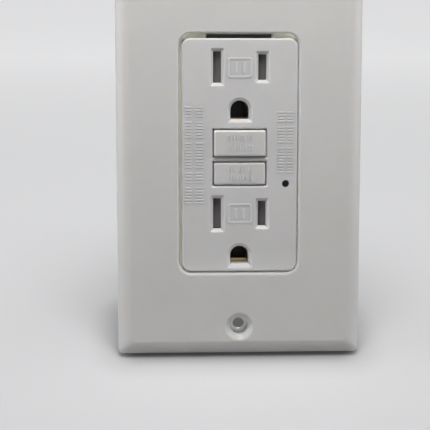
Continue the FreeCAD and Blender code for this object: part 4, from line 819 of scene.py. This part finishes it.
tongue_half = 2.45
tongue_wall = 0.3
tongue_bend = 0.3
tongue_tops = {"upper": -2.4, "lower": -1.9}
for which, middle_z in receptacles.items():
    inside = np.array([(0.7, -3.2), (1.6, -3.2), (1.6, tongue_tops[which])])
    outside = inside + [(0.0, -tongue_wall), (tongue_wall, -tongue_wall), (tongue_wall, 0.0)]
    strip = np.concatenate([rounded_path(inside, tongue_bend, 4),
                            rounded_path(outside, tongue_bend + tongue_wall, 4)[::-1]])
    sides = [level(strip, -tongue_half), level(strip, tongue_half)]
    tongue = placed([skin(sides), lid(sides[0]), lid(sides[1])], "x", (0.0, 0.0, middle_z - ground_drop))
    build("ground_tongue_" + which, tongue, brass, body="outlet")

rivet_across = 5.3
rivet = turned([(1.0, -strap_front), (1.0, 0.7), (1.5, 0.7), (1.25, 1.4)], [0.15, 0.05, 0.12, 0.4], 3, 20)
rivet_parts = []
for middle_z in receptacles.values():
    for across in (-rivet_across, rivet_across):
        rivet_parts += placed([rivet], "y", (across, 0.0, middle_z - ground_drop))
build("peened_rivets", rivet_parts, brass, "ground_rivets")

# Separator and rear housing. Two mouldings of charcoal thermoplastic: the separator carries contacts and
# shutters, and the cup behind it has a recess for each terminal and eight wire holes in its back.

charcoal_plastic = moulded("charcoal_plastic", (0.052, 0.053, 0.056), (0.042, 0.043, 0.046),
                           0.42, 0.00004, 90.0)
eased("separator_moulding", "middle_separator", charcoal_plastic, 0.1, 2.0)
eased("housing_moulding", "rear_housing", charcoal_plastic, 0.16, -0.9)

# Assembly screws. Four long plated screws run from the back through the housing's columns and cut
# their thread in the cover's bosses. Each has a pan head with a cross recess.


def thread(radius, depth, pitch, low, high, count=24):
    """A screw's thread: the radius falls by a cosine of the height less the turn, so that one groove
    winds up the shank, and the grooves fade out over a pitch at both ends."""
    along = np.linspace(low, high, int((high - low) / pitch * 8))[:, None]
    angle = np.arange(count) * 2 * np.pi / count
    groove = (1 - np.cos(2 * np.pi * along / pitch - angle)) / 2
    fade = np.clip(np.minimum(along - low, high - along) / pitch, 0.0, 1.0)
    return rings(radius - depth * groove * fade, along, count)


def upright(part):
    """A flat part that faces the viewer, turned to face up its own third axis."""
    points, faces = part
    return points[:, [0, 2, 1]] * (1, 1, -1), faces


arm, tip = 0.35, 1.3
cross = np.array([(arm, tip), (arm, arm), (tip, arm), (tip, -arm), (arm, -arm), (arm, -tip),
                  (-arm, -tip), (-arm, -arm), (-tip, -arm), (-tip, arm), (-arm, arm), (-arm, tip)])
cross_floor = 0.4
screw_low, screw_high = node_box("assembly_screws")
pan_radius = 2.3
pan_flat = 1.5
pan_height = 1.3
shank_radius = 1.2
shank_end = screw_low[1] - screw_high[1] + pan_height
shank_chamfer = 0.6
thread_end = shank_end + 9.0
pan = rounded_path([(0.0, 0.0), (pan_radius, 0.0), (pan_radius, pan_height), (pan_flat, pan_height)],
                   [0.1, 0.55], 4)
recess = [level(cross, pan_height), level(cross * 0.5, cross_floor)]
pan_parts = [revolve(pan, 28), upright(flat(circle(pan_flat, count=28), [cross], pan_height)),
             skin(recess), lid(recess[1]),
             thread(shank_radius, 0.28, 0.9, shank_end + shank_chamfer, thread_end),
             revolve([(0.0, shank_end), (shank_radius * 0.5, shank_end),
                      (shank_radius, shank_end + shank_chamfer)], 24),
             revolve([(shank_radius, thread_end), (shank_radius, 0.0)], 24)]
assembly_parts = []
for number, (across, up) in enumerate(cover_boss_places):
    assembly_parts += placed(pan_parts, "y", (across, screw_high[1] - pan_height, up), turn=0.7 * number)
build("housing_screws", assembly_parts, plated_steel, "assembly_screws")

# Shutters. Behind each pair of blade slots a dark slider with a ramp in front of its openings keeps
# single pins out, and a fine spring at its right end pushes it shut.

shutter_plastic = moulded("shutter_plastic", (0.135, 0.128, 0.125), (0.12, 0.114, 0.11), 0.40, 0.00003, 90.0)
spring_steel = metal("spring_steel", (0.62, 0.61, 0.60), 0.24)


def start_of(node, along=1):
    """The middle of a node's box, moved to where the box starts along one axis."""
    low, high = node_box(node)
    middle = (low + high) / 2
    middle[along] = low[along]
    return middle


def coil_spring(name, node, axis, wire, turns, held_end):
    """A spring of round wire between a node's two ends.

    Its centre line climbs round the axis. The first and last turn lie closed, a wire apart, and the
    pitch between them follows from what is left of the length. A small circle across the centre line
    is carried along it."""
    ends = node_box(node)
    along = "xyz".index(axis)
    radius = np.delete(ends[1] - ends[0], along).max() / 2 - wire / 2
    length = (ends[1] - ends[0])[along]
    turn = np.linspace(0, turns, int(turns * 22) + 1)
    openness = np.clip(np.minimum(turn, turns - turn) - 0.6, 0.0, 1.0)
    step = turn[1] - turn[0]
    pitch = (length - wire - wire * turns) / (openness.sum() * step)
    climb = np.cumsum((wire + pitch * openness) * step)
    climb = (climb - climb[0]) / (climb[-1] - climb[0]) * (length - wire) + wire / 2
    angle = 2 * np.pi * turn
    outward = np.stack([np.cos(angle), np.sin(angle), np.zeros(len(angle))], axis=1)
    centre = outward * radius + np.outer(climb, (0, 0, 1))
    above = np.cross(np.gradient(centre, axis=0), outward)
    above /= np.linalg.norm(above, axis=1, keepdims=True)
    wire_round = circle(wire / 2, count=10)
    loops = centre[:, None] + wire_round[:, :1] * outward[:, None] + wire_round[:, 1:] * above[:, None]
    origin = start_of(node, along)
    parts = placed([skin(list(loops)), lid(loops[0]), lid(loops[-1])], axis, origin)
    spring = build(name, parts, spring_steel, node)
    anchor = origin.copy()
    anchor[along] = ends[held_end][along]
    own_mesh(spring)


for which in receptacles:
    eased("shutter_slider_" + which, "shutter_" + which, shutter_plastic, 0.1)
    coil_spring("shutter_coil_" + which, "shutter_spring_" + which, "x", 0.26, 9, 1)

# Contact strips and line terminals. Each pole has a brass strip with two pairs of blade contacts and a
# load terminal, and a copper lead from the line terminal through both cores. Square clamps hold the wire.

nickel_steel = metal("nickel_steel", (0.56, 0.55, 0.52), 0.40, (1.0, 1.0, 0.3))
for pole in ("hot", "neutral"):
    eased(pole + "_strip_stamping", pole + "_contact_strip", brass, 0.08)
    eased(pole + "_line_lead", "line_%s_terminal" % pole, brass, 0.08)
    for row in ("load", "line"):
        eased("%s_%s_clamp_plate" % (row, pole), "%s_%s_clamp" % (row, pole), nickel_steel, 0.2)

# Terminal screws. Slotted binding-head screws, brass on the hot side and nickel plated on the neutral
# side, and a green hexagon screw with a washer face on the strap's tab for the ground wire.

head_radius = 4.0
head_height = 2.2
head_edge = 0.35
driver_slot = 1.1
driver_depth = 1.0
shaft_radius = 2.0
shaft_chamfer = 0.4
binding_reach = 5.4
washer_height = 0.8
hexagon_radius = 3.44


def slotted_head(half_outline, floor, top):
    """The two halves of a head beside its driver slot, drawn in by head_edge at their tops."""
    halves = []
    for side in (1, -1):
        levels = [level(half_outline(inset) * side, height)
                  for inset, height in ((0.0, floor), (0.0, top - head_edge), (head_edge, top))]
        halves += [skin(levels), lid(levels[-1])]
    return halves


def half_disc(inset):
    """Half a round head, drawn in by an inset: the arc above a chord that runs beside the slot."""
    reach = head_radius - inset
    start = np.arcsin((driver_slot + inset) / 2 / reach)
    angle = np.linspace(start, np.pi - start, 18)
    return reach * np.stack([np.cos(angle), np.sin(angle)], axis=1)


def half_hexagon(inset):
    """Half a hexagon head, drawn in by an inset: the corners above a chord that runs beside the slot."""
    reach = hexagon_radius - inset
    chord = (driver_slot + inset) / 2
    side = reach - chord / np.sqrt(3)
    tall = reach * np.sqrt(3) / 2
    return np.array([(side, chord), (reach / 2, tall), (-reach / 2, tall), (-side, chord)])


def shaft(length):
    """A threaded shaft below the head's seat, with a chamfered end."""
    start = shaft_chamfer - length
    return [thread(shaft_radius, 0.32, 0.8, start, 0.0),
            revolve([(0.0, -length), (shaft_radius - 0.5, -length), (shaft_radius, start)], 24)]


slot_floor = head_height - driver_depth
binding_head = [revolve([(shaft_radius, 0.0), (head_radius - 0.1, 0.0), (head_radius, 0.1),
                         (head_radius, slot_floor), (0.0, slot_floor)], 40),
                *slotted_head(half_disc, slot_floor, head_height)]
hexagon_top = washer_height + head_height
hexagon_floor = hexagon_top - driver_depth
hexagon = rounded_path(circle(hexagon_radius, count=6), 0.1, 2, closed=True)
hexagon_head = [revolve([(shaft_radius, 0.0), (head_radius - 0.15, 0.0), (head_radius, 0.15),
                         (head_radius, washer_height - 0.2), (head_radius - 0.2, washer_height),
                         (0.0, washer_height)], 40),
                skin([level(hexagon, washer_height - 0.05), level(hexagon, hexagon_floor)]),
                lid(level(hexagon, hexagon_floor)),
                *slotted_head(half_hexagon, hexagon_floor, hexagon_top)]
screw_turns = {"load_hot": 0.5, "load_neutral": 1.9, "line_hot": 1.2, "line_neutral": 2.6}
for which, turn in screw_turns.items():
    low, high = node_box(which + "_screw")
    side = 1 if which.endswith("hot") else -1
    seat = (low[0] if side < 0 else high[0]) - side * head_height
    screw = placed(binding_head + shaft(binding_reach), "x", (seat, *(low + high)[1:] / 2), side, turn)
    build(which + "_binding_screw", screw, brass if side > 0 else nickel_steel, which + "_screw")
green_screw = metal("green_screw", (0.07, 0.30, 0.13), 0.30, patches=0.8)
low, high = node_box("ground_screw")
screw = placed(hexagon_head + shaft(high[0] - low[0] - hexagon_top), "x",
               start_of("ground_screw", 0) + (hexagon_top, 0.0, 0.0), -1, 0.3)
build("ground_hexagon_screw", screw, green_screw, "ground_screw")

# Button parts. The reset pin is turned steel with a neck for the latch, inside its return spring. The
# test stem bends a leaf of spring steel until it meets a brass post on the board.

low, high = node_box("reset_pin")
pin_radius = 1.0
neck_radius = 0.6
pin_end = high[1] - low[1]
neck_low = pin_end - 1.8
neck_high = pin_end - 1.0
pin = turned([(pin_radius, 0.0), (pin_radius, neck_low), (neck_radius, neck_low), (neck_radius, neck_high),
              (pin_radius, neck_high), (pin_radius, pin_end)], [0.05, 0.06, 0.06, 0.06, 0.06, 0.35], 3)
build("turned_reset_pin", placed([pin], "y", start_of("reset_pin")), plated_steel, "reset_pin")
coil_spring("reset_return_spring", "reset_spring", "y", 0.5, 9, 1)

# The leaf bends between two bodies, so it is taken off its own one
leaf = eased("test_leaf_stamping", "test_leaf", spring_steel, 0.06)
leaf.parent = None
del leaf["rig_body"]
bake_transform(leaf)
low, high = node_box("test_post")
post = turned([(0.8, 0.0), (0.8, high[1] - low[1])], [0.3, 0.05], 4, 24)
build("test_contact_post", placed([post], "y", start_of("test_post")), brass, "test_post")

# Circuit board and indicator. A green laminate carries the electronics. A small lamp on its front
# shines through a smoked moulded pipe that ends flush in the cover.

board_laminate = moulded("board_laminate", (0.035, 0.20, 0.08), (0.025, 0.15, 0.06), 0.28, 0.00001, 420.0)
eased("board_panel", "circuit_board", board_laminate, 0.05)


def smooth_solid(name, colour, roughness, scatter=0.0):
    """Clean resin: one colour with a faint cloud in its gloss."""
    material = moulded(name, np.array(colour), np.array(colour) * 0.94, roughness, 0.000004, 200.0)
    tree = material.node_tree
    plug(tree, tree.nodes["Principled BSDF"], {"Subsurface Weight": scatter, "Subsurface Scale": 1.0 * MM,
                                               "Subsurface Radius": (1.0, 1.0, 1.0)})
    return material


smoked_lens = smooth_solid("smoked_lens", (0.012, 0.010, 0.008), 0.22)
smoked_lens.node_tree.nodes["Principled BSDF"].inputs["Specular IOR Level"].default_value = 0.12
low, high = node_box("light_pipe")
pipe_radius = light_radius - 0.02
pipe = turned([(pipe_radius, 0.0), (pipe_radius, high[1] - low[1])], [0.15, 0.1], 3, 32)
build("smoked_light_pipe", placed([pipe], "y", start_of("light_pipe")), smoked_lens, "light_pipe")
lamp_resin = smooth_solid("lamp_resin", (0.50, 0.72, 0.42), 0.22, 0.5)
low, high = node_box("indicator_lamp")
lamp_end = high[1] - low[1]
collar = lamp_end - 0.8
diode = turned([(1.0, 0.0), (1.0, collar), (1.3, collar), (1.3, lamp_end)], [0.8, 0.05, 0.1, 0.1], 6, 32)
build("indicator_diode", placed([diode], "y", start_of("indicator_lamp")), lamp_resin, "indicator_lamp")

# Sensing cores. Two coated ring cores wound with fine wire sit one behind the other in a moulded boat,
# and both line leads pass through them.

core_coating = metal("core_coating", (0.42, 0.20, 0.09), 0.32)
core_z = -20.2
core_radius = 7.2
core_hole = 4.1
core_turns = 80
for name in ("sensing_core", "neutral_core"):
    low, high = node_box(name)
    section = rectangle((core_radius - core_hole) / 2, (high[1] - low[1]) / 2, 0.7, steps=4)
    angle = np.linspace(0, 2 * np.pi, 960, endpoint=False)
    swell = 1 - 0.05 * np.abs(np.sin(angle * core_turns))[:, None]
    reach = (core_radius + core_hole) / 2 + section[:, 0] * swell
    around = np.stack([np.cos(angle), np.sin(angle)], axis=1)[:, None]
    loops = np.concatenate([reach[:, :, None] * around, (section[:, 1] * swell)[:, :, None]], axis=2)
    wound = skin([*loops, loops[0]])
    build("wound_" + name, placed([wound], "y", (0.0, (low[1] + high[1]) / 2, core_z)), core_coating, name)
eased("core_boat", "core_holder", charcoal_plastic, 0.08)

# Solenoid. Enamelled copper wire on a moulded bobbin inside a steel yoke. Its steel plunger is pulled
# down against a small spring and pushes the latch plate off the pin.

carrier_plastic = moulded("carrier_plastic", (0.17, 0.17, 0.18), (0.145, 0.145, 0.155), 0.42, 0.00003, 90.0)
copper_winding = metal("copper_winding", (0.72, 0.34, 0.16), 0.24)
eased("bobbin_moulding", "solenoid_bobbin", carrier_plastic, 0.1)
eased("yoke_stamping", "solenoid_yoke", plated_steel, 0.12)
low, high = node_box("solenoid_coil")
coil_y = (low[1] + high[1]) / 2
coil_length = high[2] - low[2]
coil_radius = high[0]
coil_hole = 2.3
wound = [thread(coil_radius, 0.11, 0.28, 0.0, coil_length, 48),
         revolve([(coil_hole, 0.0), (coil_radius, 0.0)], 48),
         revolve([(coil_radius, coil_length), (coil_hole, coil_length)], 48),
         revolve([(coil_hole, 0.0), (coil_hole, coil_length)], 48)]
build("copper_coil", placed(wound, "z", (0.0, coil_y, low[2])), copper_winding, "solenoid_coil")
low, high = node_box("plunger")
plunger_end = high[2] - low[2]
cap_low = plunger_end - 0.8
plunger = turned([(1.6, 0.0), (1.6, cap_low), (2.6, cap_low), (2.6, plunger_end)], [0.5, 0.05, 0.15, 0.25],
                 4, 32)
build("turned_plunger", placed([plunger], "z", (0.0, coil_y, low[2])), plated_steel, "plunger")
coil_spring("plunger_return_spring", "plunger_spring", "z", 0.4, 4, 0)

# Latch and arms. The moulded carrier lifts both contact arms when its sliding steel plate has caught the
# reset pin. Each spring arm has a domed silver tip that meets a fixed one on the contact strip.

eased("carrier_moulding", "latch_block", carrier_plastic, 0.12)
eased("latch_stamping", "latch_plate", plated_steel, 0.08)
coil_spring("break_return_spring", "break_spring", "y", 0.5, 5, 0)
silver_tip = metal("silver_tip", (0.84, 0.83, 0.80), 0.28)
for pole in ("hot", "neutral"):
    eased(pole + "_arm_strip", pole + "_contact_arm", brass, 0.06)
    for kind, rounds in (("arm", [0.25, 0.05]), ("fixed", [0.05, 0.25])):
        tip = "%s_%s_tip" % (pole, kind)
        build("%s_%s_silver_rivet" % (pole, kind),
              placed([turned([(1.4, 0.0), (1.4, 0.8)], rounds)], "y", start_of(tip)), silver_tip, tip)

# Electronics. A dipped blue varistor, a film capacitor, the controller chip, a thyristor and two
# resistors stand on the back of the board.

varistor_coat = smooth_solid("varistor_coat", (0.035, 0.11, 0.36), 0.26)
black_resin = smooth_solid("black_resin", (0.028, 0.028, 0.030), 0.48)
low, high = node_box("varistor")
disc_radius = (high[0] - low[0]) / 2
disc_height = high[1] - low[1]
lead_length = 0.8
disc = turned([(disc_radius, lead_length / 2), (disc_radius, disc_height)], [1.1, 1.1], 6, 40)
lead = turned([(0.4, 0.0), (0.4, lead_length)], 0.0, 0, 16)
disc_parts = placed([disc], "y", start_of("varistor"))
for up in (-1.3, 1.3):
    disc_parts += placed([lead], "y", start_of("varistor") + (0.0, 0.0, up))
build("dipped_varistor", disc_parts, varistor_coat, "varistor")
eased("film_capacitor", "capacitor", black_resin, 0.4)
eased("chip_package", "controller_chip", black_resin, 0.15)
eased("thyristor_package", "thyristor", black_resin, 0.25)


def banded(name, colour, bands, middle, reach):
    """A dipped body with painted rings, placed by their share of its length on either side."""
    material, tree, shader, place = new_material(name)
    mirrored = arithmetic(tree, "ABSOLUTE", axis_of(tree, place, "X"), 0.0)
    along = map_range(tree, mirrored, (middle - reach) * MM, (middle + reach) * MM, 0.0, 1.0)
    stops = [(0.0, colour)]
    for start, paint in bands:
        stops += [(start, paint), (start + 0.07, colour)]
    painted = ramp(tree, along, *stops)
    tree.nodes["Color Ramp"].color_ramp.interpolation = "CONSTANT"
    gloss = span(tree, noise(tree, place, 600.0, 4.0), 0.28, 0.4)
    plug(tree, shader, {"Base Color": painted, "Roughness": gloss})
    return material


resistor_x = 9.0
resistor_length = 6.0
resistor_body = banded("resistor_body", (0.62, 0.47, 0.27),
                       [(0.2, (0.16, 0.05, 0.02)), (0.36, (0.01, 0.01, 0.01)), (0.52, (0.45, 0.02, 0.02)),
                        (0.74, (0.55, 0.36, 0.08))], resistor_x, resistor_length / 2)
low, high = node_box("resistors")
barrel_radius = 1.2
waist_radius = 0.98
profile = [(barrel_radius, 0.0), (barrel_radius, 1.5), (waist_radius, 1.9), (waist_radius, 4.1),
           (barrel_radius, 4.5), (barrel_radius, resistor_length)]
barrel = turned(profile, [0.5, 0.3, 0.3, 0.3, 0.3, 0.5])
lead = turned([(0.3, 0.0), (0.3, 1.5)], 0.0, 0, 12)
barrel_z = (low[2] + high[2]) / 2
resistor_parts = []
for side in (-1, 1):
    barrel_start = (side * (resistor_x - resistor_length / 2), high[1] - barrel_radius, barrel_z)
    resistor_parts += placed([barrel], "x", barrel_start, side)
    for spread in (-2.4, 2.4):
        resistor_parts += placed([lead], "y", (side * resistor_x + spread, low[1], barrel_z))
build("film_resistors", resistor_parts, resistor_body, "resistors")

# Stage. The outlet stands on the lower edge of its plate on a pale floor that sweeps up to a pale
# wall. Light falls from above, and a weak even light fills in. The camera looks slightly down.

floor_height = plate_low[2] * MM
camera_distance = 0.300
camera_side = -0.01933
camera_height = 0.01789
camera_pitch = 0.1153
camera_yaw = -0.0420
lens_pixels = 1047.1
frame_pixels = 430.0
floor_tilt = np.radians(12.5)
floor_glow = (0.155, 0.63)
floor_glow_reach = (-0.05, 0.45)
backdrop_tone = (0.51, 0.51, 0.518)
# Round the outlet's foot the floor carries a painted shadow: a darker tone and a weaker glow
foot_middle = (0.0, 12.0, 0.0)
foot_half = (28.0, 13.5, 1000.0)
foot_shadow = 18.0
foot_dark = 9.0
foot_shadow_tone = 0.62
foot_glow = 0.12
world_strength = 0.085
world_seen = 0.72
lamps = [("key", (0.0, -0.145, 0.258), (0.0, 0.0, 0.0), 0.17, 0.86),
         ("left_side", (-0.45, -0.05, 0.08), (0.0, 0.0, -0.01), 0.30, 0.88),
         ("right_side", (0.45, -0.05, 0.08), (0.0, 0.0, -0.01), 0.30, 0.70)]
back_lamp = ("back", (0.10, 0.40, 0.30), (0.0, 0.0, 0.0), 0.30, 2.2)


def seen_directly(tree):
    """1 for what the camera sees itself, or in metal or through glass, and 0 for light on its way."""
    rays = tree.nodes.new("ShaderNodeLightPath")
    seen = rays.outputs["Is Camera Ray"]
    for kind in ("Is Glossy Ray", "Is Transmission Ray"):
        seen = arithmetic(tree, "MAXIMUM", seen, rays.outputs[kind])
    return seen


# Near the foot the floor's tone darkens and its glow fades: a painted contact shadow
backdrop_material, tree, shader, place = new_material("backdrop")
glow = map_range(tree, axis_of(tree, place, "Y"), *floor_glow_reach, *floor_glow)
away = how_far_outside(tree, place, foot_middle, foot_half)
clear_of_foot = arithmetic(tree, "MAXIMUM", ease(tree, away, 0.0, foot_shadow * MM), foot_glow)
shown = arithmetic(tree, "MULTIPLY", arithmetic(tree, "MULTIPLY", seen_directly(tree), clear_of_foot), glow)
tone = ramp(tree, ease(tree, away, 0.0, foot_dark * MM), (0.0, np.array(backdrop_tone) * foot_shadow_tone),
            (1.0, backdrop_tone))
plug(tree, shader, {"Base Color": tone, "Roughness": 0.9, "Emission Strength": shown,
                    "Emission Color": (0.985, 0.99, 1.0, 1.0)})
sweep = rounded_path([(-1.2, 0.0), (0.92, 0.0), (0.92, 2.4)], 0.12, 24)
turn = np.array([[np.cos(floor_tilt), np.sin(floor_tilt)], [-np.sin(floor_tilt), np.cos(floor_tilt)]])
sweep = sweep @ turn + (0.0, floor_height)
grid = np.array([[(x, y, z) for y, z in sweep] for x in (-1.6, 1.6)])
rows = np.arange(len(sweep) - 1)
quads = np.stack([rows, rows + len(sweep), rows + len(sweep) + 1, rows + 1], axis=1)
backdrop_mesh = bpy.data.meshes.new("backdrop")
backdrop_mesh.from_pydata(grid.reshape(-1, 3).tolist(), [], quads.tolist())
backdrop_mesh.polygons.foreach_set("use_smooth", np.ones(len(backdrop_mesh.polygons), bool))
backdrop_mesh.materials.append(backdrop_material)
backdrop = bpy.data.objects.new("backdrop", backdrop_mesh)
bpy.context.scene.collection.objects.link(backdrop)

world = bpy.data.worlds.new("studio")
bpy.context.scene.world = world
world.use_nodes = True
tree = world.node_tree
brighter = arithmetic(tree, "MULTIPLY", seen_directly(tree), world_seen - world_strength)
plug(tree, tree.nodes["Background"], {"Color": (1.0, 1.0, 1.0, 1.0),
                                      "Strength": arithmetic(tree, "ADD", brighter, world_strength)})


def area_light(name, place, target, size, power):
    """A square soft lamp at a place, turned towards a target, which the camera does not show."""
    lamp = bpy.data.lights.new(name, "AREA")
    lamp.energy = power
    lamp.size = size
    holder = bpy.data.objects.new(name, lamp)
    holder.location = place
    holder.rotation_euler = Vector(np.array(target) - np.array(place)).to_track_quat("-Z", "Y").to_euler()
    holder.visible_camera = False
    bpy.context.scene.collection.objects.link(holder)
    return holder


for lamp_row in lamps:
    area_light(*lamp_row)
# The lamp behind lights the outlet alone, so that it leaves the floor's own light as it is
left_out = bpy.data.collections.new("not lit from behind")
left_out.objects.link(backdrop)
left_out.collection_objects[0].light_linking.link_state = "EXCLUDE"
area_light(*back_lamp).light_linking.receiver_collection = left_out

camera = bpy.data.cameras.new("view")
camera.sensor_width = 36.0
camera.lens = lens_pixels / frame_pixels * camera.sensor_width
camera.clip_start = 0.01
viewer = bpy.data.objects.new("view", camera)
viewer.location = (camera_side, -camera_distance, camera_height)
viewer.rotation_euler = (np.pi / 2 - camera_pitch, 0.0, camera_yaw)
bpy.context.scene.collection.objects.link(viewer)
bpy.context.scene.camera = viewer
bpy.context.scene.view_settings.view_transform = "Standard"

bpy.context.view_layer.update()
